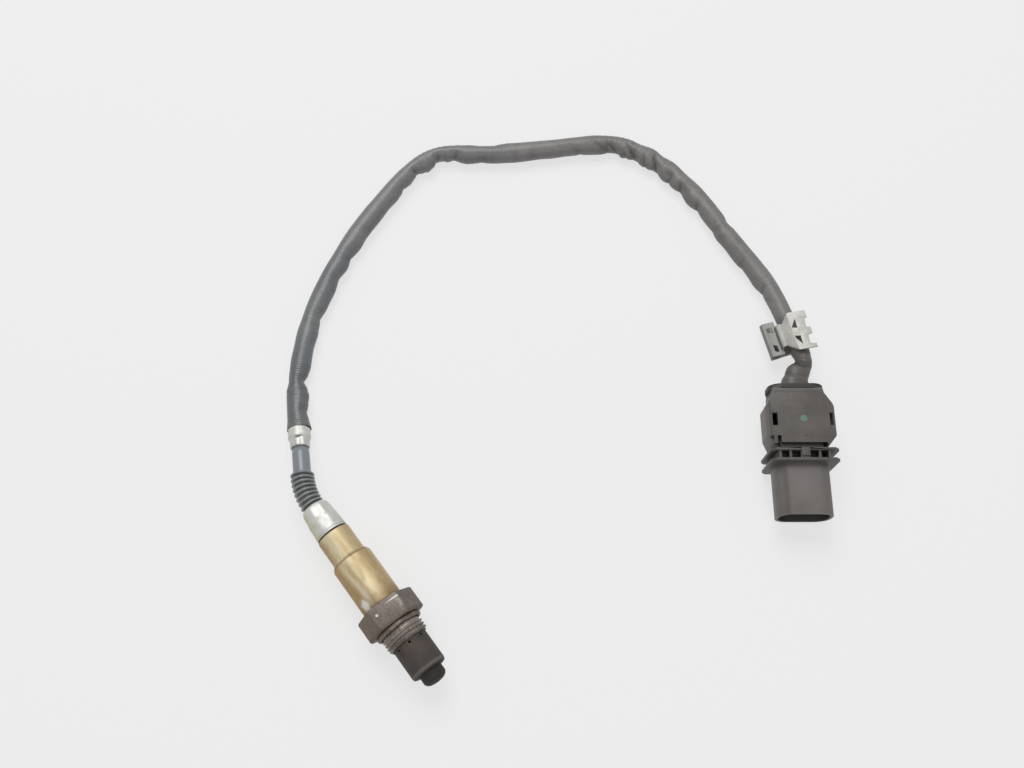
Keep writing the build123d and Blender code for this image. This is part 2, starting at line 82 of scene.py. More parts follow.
def new_finish(name):
    """An empty material, ready for add() and surface()."""
    finish = bpy.data.materials.new(name)
    finish.use_nodes = True
    finish.node_tree.nodes.clear()
    return finish


def surface(finish, shader):
    """Ends a material with this shader."""
    add(finish, "OutputMaterial", {"Surface": (shader, 0)})


acrylic = new_finish("lit white acrylic sheet")
glow = add(acrylic, "Emission", {"Color": linear("#EEEEEE"), "Strength": 1.0})
lit = add(acrylic, "BsdfDiffuse", {"Color": linear("#EFEFEE")})
both = add(acrylic, "MixShader", {0: 0.2, 1: (glow, 0), 2: (lit, 0)})
surface(acrylic, both)
sheet = bmesh.new()
bmesh.ops.create_grid(sheet, x_segments=1, y_segments=1, size=3.0)
table_mesh = bpy.data.meshes.new("table_top")
sheet.to_mesh(table_mesh)
sheet.free()
table_top = bpy.data.objects.new("table_top", table_mesh)
table_mesh.materials.append(acrylic)
bpy.context.scene.collection.objects.link(table_top)
table_top.location.z = -0.0001

for name, spot, aim, size, watts in (
        ("key lamp", (-0.72, 0.40, 1.12), (-0.03, 0.11, 0), 0.85, 12.0),
        ("fill lamp", (0.75, -0.25, 1.05), (-0.03, 0.11, 0), 0.9, 3.0)):
    lamp = bpy.data.lights.new(name, "AREA")
    lamp.shape, lamp.size, lamp.energy = "SQUARE", size, watts
    holder = bpy.data.objects.new(name, lamp)
    holder.location = spot
    holder.rotation_euler = (Vector(aim) - Vector(spot)).to_track_quat("-Z", "Y").to_euler()
    bpy.context.scene.collection.objects.link(holder)

# The white room: bright to the camera and to mirror-like surfaces, dimmer as even light.
world = bpy.data.worlds.new("white room")
world.use_nodes = True
room = world.node_tree.nodes["Background"]
room.inputs["Color"].default_value = linear("#FAFAFA")
ray = add(world, "LightPath")
seen = add(world, "Math", {0: (ray, "Is Glossy Ray"), 1: (ray, "Is Camera Ray")}, operation="MAXIMUM")
level = add(world, "MapRange", {"Value": (seen, 0), 1: 0.0, 2: 1.0, 3: 0.36, 4: 0.80})
world.node_tree.links.new(level.outputs["Result"], room.inputs["Strength"])
bpy.context.scene.world = world
bpy.context.scene.view_settings.view_transform = "Standard"

# ---- Sleeved lead -------------------------------------------------------------------------
# Five wires in one heat-proof rubber sleeve, 8.6 mm thick and about 0.4 m from ferrule to plug.
# The sleeve is loose on its wires, so it wrinkles inside each bend and bunches at the plug.
lead_r, braid_pitch = 4.3 * MM, 1.1 * MM
lead_route = [
    (-0.07670, 0.01370, 0.00638), (-0.08829, 0.01986, 0.00430), (-0.09640, 0.02510, 0.00430),
    (-0.11680, 0.04460, 0.00430), (-0.13400, 0.07290, 0.00430), (-0.14300, 0.09410, 0.00430),
    (-0.14950, 0.11470, 0.00430), (-0.15330, 0.13020, 0.00430), (-0.15100, 0.14390, 0.00430),
    (-0.13920, 0.15620, 0.00430), (-0.12590, 0.17760, 0.00430), (-0.11040, 0.20430, 0.00430),
    (-0.10180, 0.21320, 0.00430), (-0.08240, 0.22090, 0.00430), (-0.06150, 0.22240, 0.00430),
    (-0.03640, 0.22090, 0.00430), (-0.00980, 0.21900, 0.00430), (0.00550, 0.21490, 0.00525),
    (0.02140, 0.20830, 0.00840), (0.03110, 0.20460, 0.01020), (0.03290, 0.19960, 0.01090),
    (0.03480, 0.19500, 0.01125), (0.04052, 0.19074, 0.01125)]


def route_line(name, points, thickness, around):
    """A smooth line with these control points, as a mesh: bare, or a tube of that thickness."""
    curve = bpy.data.curves.new(name, "CURVE")
    curve.dimensions = "3D"
    curve.twist_mode = "MINIMUM"
    curve.resolution_u = 16
    curve.bevel_depth = thickness
    curve.bevel_resolution = around
    strand = curve.splines.new("NURBS")
    strand.points.add(len(points) - 1)
    for spot, place in zip(strand.points, points):
        spot.co = (*place, 1.0)
    strand.order_u = 3
    strand.use_endpoint_u = True
    holder = bpy.data.objects.new(name, curve)
    bpy.context.scene.collection.objects.link(holder)
    bpy.context.view_layer.update()
    mesh = bpy.data.meshes.new_from_object(holder)
    bpy.data.objects.remove(holder)
    bpy.data.curves.remove(curve)
    return mesh


bare = route_line("lead_line", lead_route, 0.0, 0)
line = [v.co.copy() for v in bare.vertices]
bpy.data.meshes.remove(bare)
along = [0.0]
for a, b in zip(line, line[1:]):
    along.append(along[-1] + (b - a).length)
lead_length = along[-1]
finder = KDTree(len(line))
for i, p in enumerate(line):
    finder.insert(p, i)
finder.balance()


def ramp(value, low, high):
    """How far a value has come from low to high, held between 0 and 1."""
    return min(max((value - low) / (high - low), 0.0), 1.0)


def on_line(p):
    """The nearest point on the lead's centre line, and its distance along the lead."""
    i = finder.find(p)[1]
    i = min(max(i, 1), len(line) - 2)
    best = None
    for j in (i - 1, i):
        step = line[j + 1] - line[j]
        share = ramp((p - line[j]).dot(step), 0.0, step.length_squared)
        foot = line[j] + step * share
        if best is None or (p - foot).length < (p - best[0]).length:
            best = (foot, along[j] + step.length * share)
    return best


tube = route_line("lead", lead_route, lead_r, 10)
shaped = bmesh.new()
shaped.from_mesh(tube)
lengthwise = [e for e in shaped.edges
              if abs(on_line(e.verts[0].co)[1] - on_line(e.verts[1].co)[1]) > 0.6 * MM]
bmesh.ops.subdivide_edges(shaped, edges=lengthwise, cuts=1, use_grid_fill=False)
picture_right = Vector((0.605, 0.796, 0.0))
loop_middle = Vector((-0.045, 0.115, 0.0))

# The sleeve's outline as measured: (place along the lead, how far it stands out there), in
# mm, first on the side that faces the loop's middle, then on the other.
inner_side = [
    (0, 0.6), (4, 0.2), (8, -0.4), (12, 0.45), (16, 1.05), (19, 0.5), (23, -1.0), (27, 0.0), (30, 0.5),
    (38, 0.3), (46, 0.65), (50, 0.2), (54, -0.3), (60, 0.4), (68, 0.55), (75.5, -0.3), (82, 0.55),
    (86.5, 0.0), (94, 0.85), (100, 0.4), (112, 0.65), (118, 0.35), (124, 0.65), (127, 0.3), (130.5, -0.4),
    (135, 0.15), (138, -0.3), (141, -0.8), (144, 0.3), (147, 1.35), (150, 0.7), (154, -1.2), (156, -0.9),
    (159, -0.1), (162.5, -0.5), (168.5, 0.5), (175, -0.15), (184, 0.25), (192, 0.55), (204, 0.0),
    (208, 0.2), (215, -0.15), (224, 0.2), (231, 0.3), (236, -0.3), (240, -0.7), (243.5, 0.6), (246, 0.45),
    (250, -0.5), (256, 0.5), (262, -0.5), (268, 0.6), (273, 0.35), (278.5, -0.35), (285.5, 0.5),
    (291, -0.3), (297, 0.0), (302, 0.0), (308, 0.8), (313, 0.55), (321, 0.85), (330, 0.2), (336, 0.55),
    (341, -0.2), (350, -0.5), (358, -0.3), (366, 0.0)]
outer_side = [
    (0, 0.35), (18, 0.2), (22, -0.5), (26, -0.25), (33, 0.0), (39, -0.2), (46, 0.0), (51, -0.15),
    (60, 0.1), (76, 0.2), (86, -0.15), (98, 0.15), (112, -0.1), (117, -0.3), (126, -0.25), (134, -0.35),
    (140, -0.75), (148, -0.65), (154, -0.9), (162, -1.0), (165, -0.6), (170, -0.1), (176, -0.45),
    (182, -0.6), (184.5, 0.0), (188, 0.25), (196, 0.1), (210, -0.1), (220, 0.0), (229, 0.35), (236, 0.1),
    (245, 0.5), (249, 0.15), (256, 1.05), (261, 0.2), (267, 0.85), (274, 0.35), (283, 0.85), (291, 0.65),
    (300, 0.35), (304.5, -0.75), (309, -0.1), (318, 0.0), (328, 0.25), (336, 0.5), (346, 0.3), (358, 0.0),
    (366, 0.0)]
# Creases: place at the loop side, depth, half width, how far each leans back per millimetre of
# height, and the angle above level where it fades, in mm and degrees.
creases = [
    (23.3, 0.5, 1.3, 0.0, 60), (54, 0.3, 1.5, 0.4, 60), (75.5, 0.3, 1.5, 0.5, 60),
    (87, 0.45, 1.5, 0.6, 75), (130.5, 0.4, 1.2, 0.4, 60), (141, 0.7, 1.1, 0.3, 80),
    (153.6, 0.65, 1.1, -0.2, 80), (157.3, 0.3, 0.9, -0.3, 60), (162.5, 0.6, 0.9, -0.3, 80),
    (175.5, 0.35, 1.6, -0.5, 60), (222, 0.5, 1.3, 0.9, 75), (236.5, 0.8, 1.1, 1.3, 100),
    (240.4, 0.9, 1.0, 1.0, 85), (245.8, 0.6, 0.8, 0.7, 70), (250.6, 1.1, 1.1, 0.9, 105),
    (256.5, 0.6, 0.9, 0.6, 80), (262.2, 1.2, 1.1, 0.5, 125), (271, 0.8, 1.2, 0.2, 85),
    (278.6, 0.8, 1.3, 0.5, 80), (291, 0.6, 1.4, 0.5, 75), (303.5, 0.22, 1.8, -0.3, 160),
    (326, 0.4, 1.6, 0.7, 80), (342, 0.5, 1.5, 0.6, 75)]
# Soft hollows between creases: place, angle above level, depth, half length.
hollows = [
    (235.5, 52, 0.8, 2.2), (248.5, 50, 0.7, 1.7), (269.0, 48, 1.3, 2.5), (280.5, 40, 0.6, 2.4),
    (147.0, 62, 0.5, 1.8), (90.0, 45, 0.35, 2.5), (318.0, 45, 0.4, 3.0), (337.0, 45, 0.35, 2.5)]
waist_at, collar_at = lead_length - 17.5 * MM, lead_length - 3.0 * MM


def stands_out(marks, place_mm):
    """Height at a place between two marks, easing from one to the next."""
    for (a, low), (b, high) in zip(marks, marks[1:]):
        if place_mm <= b:
            share = ramp(place_mm, a, b)
            return low + (high - low) * share * share * (3 - 2 * share)
    return marks[-1][1]


# this layer holds painted shade for the creases, hollows and folds
fold = shaped.verts.layers.float.new("fold")
for v in shaped.verts:
    foot, s = on_line(v.co)
    out_way = v.co - foot
    if out_way.length < 1e-7:
        continue
    out_way.normalize()
    inner = Vector((loop_middle.x - foot.x, loop_middle.y - foot.y, 0.0)).normalized()
    s_mm = s / MM
    push = 0.08 * noise.noise(Vector((s * 80, out_way.x * 0.7, out_way.z * 0.7)))
    level = out_way.dot(inner)
    push += stands_out(inner_side, s_mm) * max(0.0, level) ** 1.2
    push += stands_out(outer_side, s_mm) * max(0.0, -level) ** 1.2
    lift, shade_depth = atan2(out_way.z, level), 0.0
    if lift > -0.9:
        rise = max(lift, 0.0) * lead_r / MM
        for at, depth, half, lean, fade in creases:
            gap = abs(s_mm - at + lean * rise) / half
            if gap < 4:
                cut = depth * ramp(lift, radians(fade), radians(fade) - 0.6)
                push -= 1.3 * cut * exp(-gap)
                # painted shade along the crease's valley
                shade_depth = max(shade_depth, cut * exp(-(gap / 0.7) ** 2))
        for at, angle, depth, half in hollows:
            gap = ((s_mm - at) / half) ** 2 + ((lift - radians(angle)) / 0.42) ** 2
            if gap < 6:
                push -= depth * exp(-gap)
                # painted shade in the hollow
                shade_depth = max(shade_depth, 0.35 * depth * exp(-gap))
    sharp = exp(-((s_mm - 150) / 14) ** 2) + exp(-((s_mm - 252) / 24) ** 2)
    sway = 2.5 * noise.noise(Vector((s * 130, 1.0, out_way.z)))
    push -= 0.05 * (1 + sharp) * (0.5 + 0.5 * sin(s_mm * 2.6 + sway))
    # flare over the ferrule's wide end
    push += 0.45 * exp(-(s_mm / 3.2) ** 2)
    # narrow waist, then the loose end bunched against the plug's rim
    if s > waist_at - 12 * MM:
        to_plug = (s - waist_at) / MM
        push -= 0.75 * exp(-(to_plug / 4.0) ** 2)
        rise_share = ramp(s, waist_at, collar_at)
        swell = rise_share * rise_share * (3 - 2 * rise_share)
        left_way = max(0.0, -out_way.dot(picture_right))
        right_way = max(0.0, out_way.dot(picture_right))
        push += swell * (1.1 - 0.5 * right_way + 1.3 * left_way)
        fold_at = to_plug - 4.0 + 1.2 * right_way
        over = max(0.0, 0.35 + 0.65 * out_way.z + 0.3 * left_way - 0.9 * right_way)
        push -= 1.3 * exp(-abs(fold_at / 1.1) ** 1.2) * over
        # painted shade in the fold where the loose end bunches
        shade_depth = max(shade_depth, 1.3 * exp(-((fold_at - 0.5) / 1.6) ** 2) * over)
        push += 0.45 * exp(-((fold_at + 2.2) / 1.3) ** 2) * max(0.0, out_way.z)
        under = max(0.0, left_way * 0.9 + 0.3 * out_way.z)
        push -= 0.8 * exp(-((to_plug - 9.5) / 1.2) ** 2) * under
        # painted shade in the crease under the bunched end
        shade_depth = max(shade_depth, 0.9 * exp(-((to_plug - 9.5) / 0.9) ** 2) * under)
        push += 0.35 * swell * sin(3 * atan2(out_way.z, out_way.dot(picture_right)) + 0.5)
        if s > collar_at:
            inside = ramp(s, collar_at, collar_at + 0.8 * MM)
            push = push * (1 - inside) - 0.02 * inside
    v[fold] = min(shade_depth, 1.0)
    v.co = foot + out_way * (lead_r + push * MM)
    v.co.z = max(v.co.z, 0.0)
run_along = shaped.verts.layers.float.new("along")
for v in shaped.verts:
    v[run_along] = on_line(v.co)[1]
tube.clear_geometry()
shaped.to_mesh(tube)
shaped.free()
for face in tube.polygons:
    face.use_smooth = True
lead = bpy.data.objects.new("lead", tube)
bpy.context.scene.collection.objects.link(lead)


def layered(finish, base, *layers):
    """Lays colours over a base, each by a value, where it starts, where it is full, and how much."""
    below = linear(base) if isinstance(base, str) else base
    for value, start, full, amount, colour, *easing in layers:
        share = add(finish, "MapRange", {"Value": value, 1: start, 2: full, 3: 0.0, 4: amount},
                    interpolation_type=easing[0] if easing else "LINEAR")
        over = add(finish, "Mix", {0: (share, "Result"), 6: below, 7: linear(colour)}, data_type="RGBA")
        below = (over, 2)
    return below


def coated(finish, colour, height, strength, depth, looks):
    """Ends a material: its colour, bumps of a strength and depth from a height, and its looks."""
    bump = add(finish, "Bump", {"Height": height, "Strength": strength, "Distance": depth})
    shader = add(finish, "BsdfPrincipled", {"Base Color": colour, "Normal": (bump, "Normal"), **looks})
    surface(finish, shader)


# Silicone rubber over a glass braid: a smooth matt skin with rubbed-in dust that gathers in
# patches 36 mm wide, in specks of 4 mm. The leg by the body is cleaner, so bluer and glossier.
sleeve_skin = new_finish("dusty silicone rubber sleeve")
place = (add(sleeve_skin, "TexCoord"), "Object")
side = add(sleeve_skin, "SeparateXYZ", {"Vector": place})
cloud = add(sleeve_skin, "TexNoise", {"Vector": place, "Scale": 1 / (35.7 * MM), "Detail": 5.0,
                                      "Roughness": 0.6})
grime = add(sleeve_skin, "TexNoise", {"Vector": place, "Scale": 1 / (3.85 * MM), "Detail": 6.0,
                                      "Roughness": 0.7})
on_lead = add(sleeve_skin, "Attribute", attribute_name="along")
in_crease_shade = add(sleeve_skin, "Attribute", attribute_name="fold")
tint = layered(
    sleeve_skin, "#62676A", ((side, "Y"), 40 * MM, 190 * MM, 1.0, "#6B6968"),
    ((cloud, "Fac"), 0.40, 0.66, 0.6, "#7F7D7C"), ((grime, "Fac"), 0.52, 0.35, 0.45, "#545251"),
    # greasy gloves have browned the last stretch, and the root is dark by the ferrule
    ((on_lead, "Fac"), 355 * MM, 376 * MM, 0.8, "#4E4843"),
    ((on_lead, "Fac"), 40 * MM, 4 * MM, 0.38, "#3C3F40"),
    # painted shade in the creases, hollows and folds
    ((in_crease_shade, "Fac"), 0.0, 1.0, 0.75, "#2A2928"))
# ribs of the glass braid under the rubber, one each 1.1 mm, which is as coarse as it takes to show
beat = add(sleeve_skin, "Math", {0: (on_lead, "Fac"), 1: 2 * pi / braid_pitch}, operation="MULTIPLY")
ribs = add(sleeve_skin, "Math", {0: (beat, 0)}, operation="SINE")
weave = add(sleeve_skin, "Math", {0: (ribs, 0), 1: 0.35, 2: (grime, "Fac")}, operation="MULTIPLY_ADD")
gloss = add(sleeve_skin, "MapRange", {"Value": (side, "Y"), 1: 40 * MM, 2: 190 * MM, 3: 0.33, 4: 0.46})
coated(sleeve_skin, tint, (weave, 0), 0.3, 0.2 * MM, {"Roughness": (gloss, "Result"), "IOR": 1.5})
tube.materials.append(sleeve_skin)
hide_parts("cable")
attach(lead, "root")

# ---- Boot ---------------------------------------------------------------------------------
# Grey silicone rubber, moulded with eight thin ribs so that it bends where the lead leaves the
# body, and a smooth neck that the ferrule grips. Spun straight, then bent along its own arc.
boot_start = Vector((-43.2, 0.0, 11.0)) * MM
boot_dip, boot_plan, boot_bend_r = radians(9.0), radians(28.0), 29.6 * MM
boot_neck, boot_r, boot_core_r = 13.0 * MM, 5.0 * MM, 3.75 * MM
straight_way = Vector((-1, 0, 0))
down_way = Vector((-cos(boot_dip) * cos(boot_plan), cos(boot_dip) * sin(boot_plan), -sin(boot_dip)))
boot_turn = straight_way.angle(down_way)
bend_in = ((down_way - straight_way * cos(boot_turn)) / sin(boot_turn)).normalized()
bend_side = straight_way.cross(bend_in)
bend_len = boot_bend_r * boot_turn


def along_boot(s, inward, sideways):
    """A point at length s on the boot's line, moved towards the bend's centre and sideways."""
    angle = min(max(s, 0.0), bend_len) / boot_bend_r
    centre = boot_start + bend_in * boot_bend_r
    heading = straight_way * cos(angle) + bend_in * sin(angle)
    inner = bend_in * cos(angle) - straight_way * sin(angle)
    foot = centre - inner * boot_bend_r
    foot += heading * (s - boot_bend_r * angle)
    return foot + inner * inward + bend_side * sideways


def spun(name, outline, steps, closed=False):
    """Spins (distance, radius) corners about the x axis into one welded skin, still straight."""
    skin = bmesh.new()
    ring = [skin.verts.new((x, 0.0, r)) for x, r in outline]
    edges = [skin.edges.new(pair) for pair in zip(ring, ring[1:])]
    if closed:
        edges.append(skin.edges.new((ring[-1], ring[0])))
    bmesh.ops.spin(skin, geom=ring + edges, cent=(0, 0, 0), axis=(1, 0, 0), angle=2 * pi,
                   steps=steps, use_merge=True, use_duplicate=False)
    bmesh.ops.remove_doubles(skin, verts=skin.verts, dist=1e-7)
    bmesh.ops.recalc_face_normals(skin, faces=skin.faces)
    mesh = bpy.data.meshes.new(name)
    skin.to_mesh(mesh)
    skin.free()
    for face in mesh.polygons:
        face.use_smooth = True
    return mesh


def piece(name, mesh, finishes, slot_name, *stands_for):
    """Puts a finished mesh in the scene as one piece of the object."""
    thing = bpy.data.objects.new(name, mesh)
    bpy.context.scene.collection.objects.link(thing)
    for finish in finishes:
        mesh.materials.append(finish)
    if stands_for:
        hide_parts(*stands_for)
    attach(thing, "root")
    return thing


rib_first, rib_pitch, rib_half = 1.7 * MM, 1.95 * MM, 0.58 * MM
bellows = [(-3.0 * MM, 0.0), (-3.0 * MM, 4.35 * MM), (-0.3 * MM, 4.35 * MM),
           (0.1 * MM, boot_core_r + 0.2 * MM), (0.5 * MM, boot_core_r)]
for i in range(8):
    middle = rib_first + i * rib_pitch
    for lean, height in ((-1.0, 0.0), (-0.92, 0.22), (-0.72, 0.62), (-0.45, 0.88), (0.0, 1.0),
                         (0.45, 0.88), (0.72, 0.62), (0.92, 0.22), (1.0, 0.0)):
        bellows.append((middle + rib_half * lean, boot_core_r - 0.15 * MM
                        + (boot_r - boot_core_r + 0.15 * MM) * height))
neck_end = bend_len + boot_neck
bellows += [(16.4 * MM, boot_core_r), (17.2 * MM, boot_core_r - 0.05 * MM),
            (neck_end - 3 * MM, boot_core_r - 0.08 * MM), (neck_end + 0.4 * MM, boot_core_r - 0.3 * MM),
            (neck_end + 0.4 * MM, 0.0)]
boot_mesh = spun("boot", bellows, 56)
boot_bent = bmesh.new()
boot_bent.from_mesh(boot_mesh)
groove = boot_bent.verts.layers.float.new("groove")
for v in boot_bent.verts:
    height = (sqrt(v.co.y ** 2 + v.co.z ** 2) - boot_core_r) / (boot_r - boot_core_r)
    # painted shade, deepest at the floor of each groove between the ribs
    v[groove] = 0.6 * ramp(height, 0.5556, 0.0) if 0 < v.co.x < 16.0 * MM else 0.0
    v.co = along_boot(v.co.x, v.co.z, v.co.y)
bmesh.ops.recalc_face_normals(boot_bent, faces=boot_bent.faces)
boot_bent.to_mesh(boot_mesh)
boot_bent.free()

# Moulded silicone rubber: satin grey with a blue cast, in stains 5.5 mm wide. The smooth neck is
# bluer than the ribs, and painted shade darkens the grooves between them.
boot_rubber = new_finish("moulded grey silicone rubber")
place = (add(boot_rubber, "TexCoord"), "Object")
side = add(boot_rubber, "SeparateXYZ", {"Vector": place})
stain = add(boot_rubber, "TexNoise", {"Vector": place, "Scale": 1 / (5.55 * MM), "Detail": 5.0})
rib_gap_shade = add(boot_rubber, "Attribute", attribute_name="groove")
tint = layered(
    boot_rubber, "#7E8081", ((stain, "Fac"), 0.3, 0.75, 1.0, "#929494"),
    ((side, "X"), -57.8 * MM, -59.2 * MM, 1.0, "#787E84"), ((rib_gap_shade, "Fac"), 0.0, 1.0, 1.0, "#3A3B3B"))
coated(boot_rubber, tint, (stain, "Fac"), 0.15, 0.1 * MM, {"Roughness": 0.3, "IOR": 1.55})
boot = piece("rubber_boot", boot_mesh, [boot_rubber], "boot_rubber", "boot")

# ---- Ferrule ------------------------------------------------------------------------------
# A short tube of drawn stainless steel: a slim band squeezed flat-sided on the boot's neck, then
# a wider band over the sleeve's root, with a pressed tongue-shaped slot at the step between.
ferrule_bore = 3.3 * MM
band = [(x * MM, r * MM) for x, r in (
    (0.0, 3.3), (0.0, 3.95), (0.1, 4.1), (0.35, 4.2), (1.2, 4.2), (2.0, 4.18), (2.8, 4.18), (3.4, 4.2),
    (3.75, 4.28), (4.1, 4.5), (4.45, 4.72), (4.8, 4.82), (5.4, 4.84), (6.2, 4.8), (6.7, 4.72),
    (7.1, 4.72), (7.5, 4.83), (8.3, 4.85), (8.6, 4.8), (8.8, 4.6), (8.8, 3.3))]
ferrule_mesh = spun("ferrule", band, 96, closed=True)
pressed = bmesh.new()
pressed.from_mesh(ferrule_mesh)
recess_shade = pressed.verts.layers.float.new("groove")
for v in pressed.verts:
    turned = atan2(v.co.y, v.co.z)
    r = sqrt(v.co.y ** 2 + v.co.z ** 2)
    if r > ferrule_bore + 0.2 * MM:
        flat = (0.5 + 0.5 * cos(8 * turned)) ** 2 * 0.22 * MM
        slim_share = ramp(v.co.x, 3.6 * MM, 2.8 * MM)
        r -= flat * (0.35 + 0.65 * slim_share)
        from_slot = turned + 1.81
        off_slot = v.co.x - 3.95 * MM - 0.5 * MM * from_slot
        slot = exp(-(from_slot / 0.42) ** 6) * exp(-(off_slot / (0.3 * MM)) ** 4)
        r -= 0.6 * MM * slot
        # painted shade in the pressed slot
        v[recess_shade] = min(1.0, 1.1 * slot)
        v.co.y, v.co.z = r * sin(turned), r * cos(turned)
    v.co = along_boot(neck_end + v.co.x, v.co.z, v.co.y)
bmesh.ops.recalc_face_normals(pressed, faces=pressed.faces)
pressed.to_mesh(ferrule_mesh)
pressed.free()

# Bright stainless steel, blasted before it was pressed: pale and satin, in clouds of 4.5 mm and
# smears of 1.7 mm. Heat has left a faint yellow haze on the left of the rear sleeve.
bright_steel = new_finish("satin stainless steel")
place = (add(bright_steel, "TexCoord"), "Object")
side = add(bright_steel, "SeparateXYZ", {"Vector": place})
haze = add(bright_steel, "TexNoise", {"Vector": place, "Scale": 1 / (4.55 * MM), "Detail": 4.0})
smear = add(bright_steel, "TexNoise", {"Vector": place, "Scale": 1 / (1.67 * MM), "Detail": 5.0,
                                       "Roughness": 0.7})
recess_shade_in = add(bright_steel, "Attribute", attribute_name="groove")
leftwards = add(bright_steel, "Math", {0: (haze, "Fac"), 1: 6 * MM, 2: (side, "Y")}, operation="MULTIPLY_ADD")
tint = layered(
    bright_steel, "#BAB9B4", ((haze, "Fac"), 0.35, 0.65, 1.0, "#CDCDC9"),
    # the yellow haze, then painted shade in the ferrule's slot and in the crimped sleeve's gap and groove
    ((leftwards, 0), 1 * MM, -3 * MM, 0.85, "#BDB898"), ((recess_shade_in, "Fac"), 0.0, 1.0, 1.0, "#57534B"))
coated(bright_steel, tint, (smear, "Fac"), 0.2, 0.1 * MM, {"Metallic": 0.55, "Roughness": 0.5})
ferrule = piece("crimped_ferrule", ferrule_mesh, [bright_steel], "bright_steel", "ferrule")

# ---- Crimped sleeve -----------------------------------------------------------------------
# Bright stainless tube behind the straw-coloured sleeve. An eight-jaw tool squeezes it twice on
# to the seal plug and curls its rear edge over the boot, which leaves two rows of soft flats.
seat = 16.3 * MM
axis_z = 11.0 * MM


def on_body(mesh, change=None):
    """Moves a straight spun mesh so that its zero is the sealing face, on the body's axis."""
    work = bmesh.new()
    work.from_mesh(mesh)
    recess_shade = work.verts.layers.float.new("groove")
    if change:
        for v in work.verts:
            v[recess_shade] = change(v) or 0.0
    bmesh.ops.translate(work, vec=(seat, 0, axis_z), verts=work.verts)
    bmesh.ops.recalc_face_normals(work, faces=work.faces)
    work.to_mesh(mesh)
    work.free()


crimp = [
    (-59.8, 4.42), (-59.8, 4.75), (-59.72, 5.0), (-59.5, 5.25), (-59.1, 5.6), (-58.6, 5.9), (-58.0, 6.12),
    (-57.4, 6.25), (-56.6, 6.34), (-55.8, 6.42), (-54.9, 6.5), (-54.2, 6.56), (-53.8, 6.56),
    (-53.5, 6.48), (-53.2, 6.44), (-52.9, 6.5), (-52.6, 6.68), (-52.2, 6.78), (-51.4, 6.82),
    (-50.4, 6.84), (-49.2, 6.85), (-48.0, 6.85), (-47.2, 6.84), (-46.9, 6.74), (-46.7, 6.74),
    (-46.45, 6.84), (-46.15, 6.84), (-46.0, 6.7), (-46.0, 6.5), (-43.5, 6.5), (-41.0, 6.5), (-41.0, 6.02),
    (-51.0, 6.02), (-57.6, 5.8), (-59.0, 5.0), (-59.3, 4.42)]
crimp_mesh = spun("crimp_sleeve", [(x * MM, r * MM) for x, r in crimp], 128, closed=True)


def jaw_marks(v):
    """Squeezes two rows of eight soft flats, and tells how much painted shade the place gets."""
    turned = atan2(v.co.z, v.co.y)
    r = sqrt(v.co.y ** 2 + v.co.z ** 2)
    x = v.co.x / MM
    if r > 4.9 * MM and x < -46.5 and r > (6.1 * MM if x > -57 else 4.9 * MM):
        share = (0.5 + 0.5 * cos(8 * turned + 0.5)) ** 0.8
        rear = ramp(x, -53.4, -54.2) * ramp(x, -59.6, -58.6)
        front = ramp(x, -52.7, -52.1) * ramp(x, -47.6, -48.4)
        r -= MM * share * (0.36 * rear + 0.24 * front)
        v.co.y, v.co.z = r * cos(turned), r * sin(turned)
    # painted shadow in the gap under the straw sleeve's rim, fainter painted shade in the small groove before
    # it
    return 1.0 if -46.02 < x < -43.0 else 0.25 if -46.95 < x < -46.6 else 0.0


on_body(crimp_mesh, jaw_marks)
piece("crimped_rear_sleeve", crimp_mesh, [bright_steel], "bright_steel", "crimp_sleeve")

# ---- Stepped sleeve -----------------------------------------------------------------------
# One drawn stainless tube with a shoulder, welded to the hexagon. Exhaust heat has tinted it
# straw, going to brown beside the hexagon.
stepped = [
    (-9.5, 8.0), (-9.5, 8.65), (-10.1, 8.65), (-10.7, 8.65), (-14.0, 8.65), (-20.0, 8.65), (-26.0, 8.65),
    (-31.2, 8.65), (-31.7, 8.6), (-32.1, 8.42), (-32.7, 8.02), (-33.3, 7.6), (-33.8, 7.28), (-34.2, 7.17),
    (-34.8, 7.15), (-39.0, 7.15), (-43.0, 7.15), (-44.9, 7.15), (-45.2, 7.1), (-45.3, 7.0), (-45.3, 6.5),
    (-34.3, 6.5), (-31.2, 8.0)]
stepped_mesh = spun("stepped_sleeve", [(x * MM, r * MM) for x, r in stepped], 112, closed=True)


def drawn_waver(v):
    """Makes the drawn skin waver faintly, and tells how much painted shade the place gets."""
    r = sqrt(v.co.y ** 2 + v.co.z ** 2)
    if r > 6.9 * MM:
        ripple = 1 + 0.0025 * noise.noise(Vector((v.co.x * 120, v.co.y * 160, v.co.z * 160)))
        v.co.y, v.co.z = v.co.y * ripple, v.co.z * ripple
    # painted shade at the weld beside the hexagon and at the foot of the shoulder
    return 0.75 if v.co.x > -10.3 * MM else 0.5 if abs(v.co.x + 32.4 * MM) < 0.4 * MM else 0.0


def spot_mask(finish, place, ragged, centre, half, blur=0.25, amount=1.0):
    """A mask for one spot or scratch: an ellipsoid round a centre, in mm, with a ragged edge."""
    local = add(finish, "Mapping", {"Vector": place, "Location": tuple(c * MM for c in centre),
                                    "Scale": tuple(h * MM for h in half)}, vector_type="TEXTURE")
    far = add(finish, "VectorMath", {0: (local, 0)}, operation="LENGTH")
    edge = add(finish, "Math", {0: (ragged, "Fac"), 1: 2.4, 2: (far, "Value")}, operation="MULTIPLY_ADD")
    return add(finish, "MapRange", {"Value": (edge, 0), 1: 2.2 + blur, 2: 2.2 - blur, 3: 0.0, 4: amount})


on_body(stepped_mesh, drawn_waver)

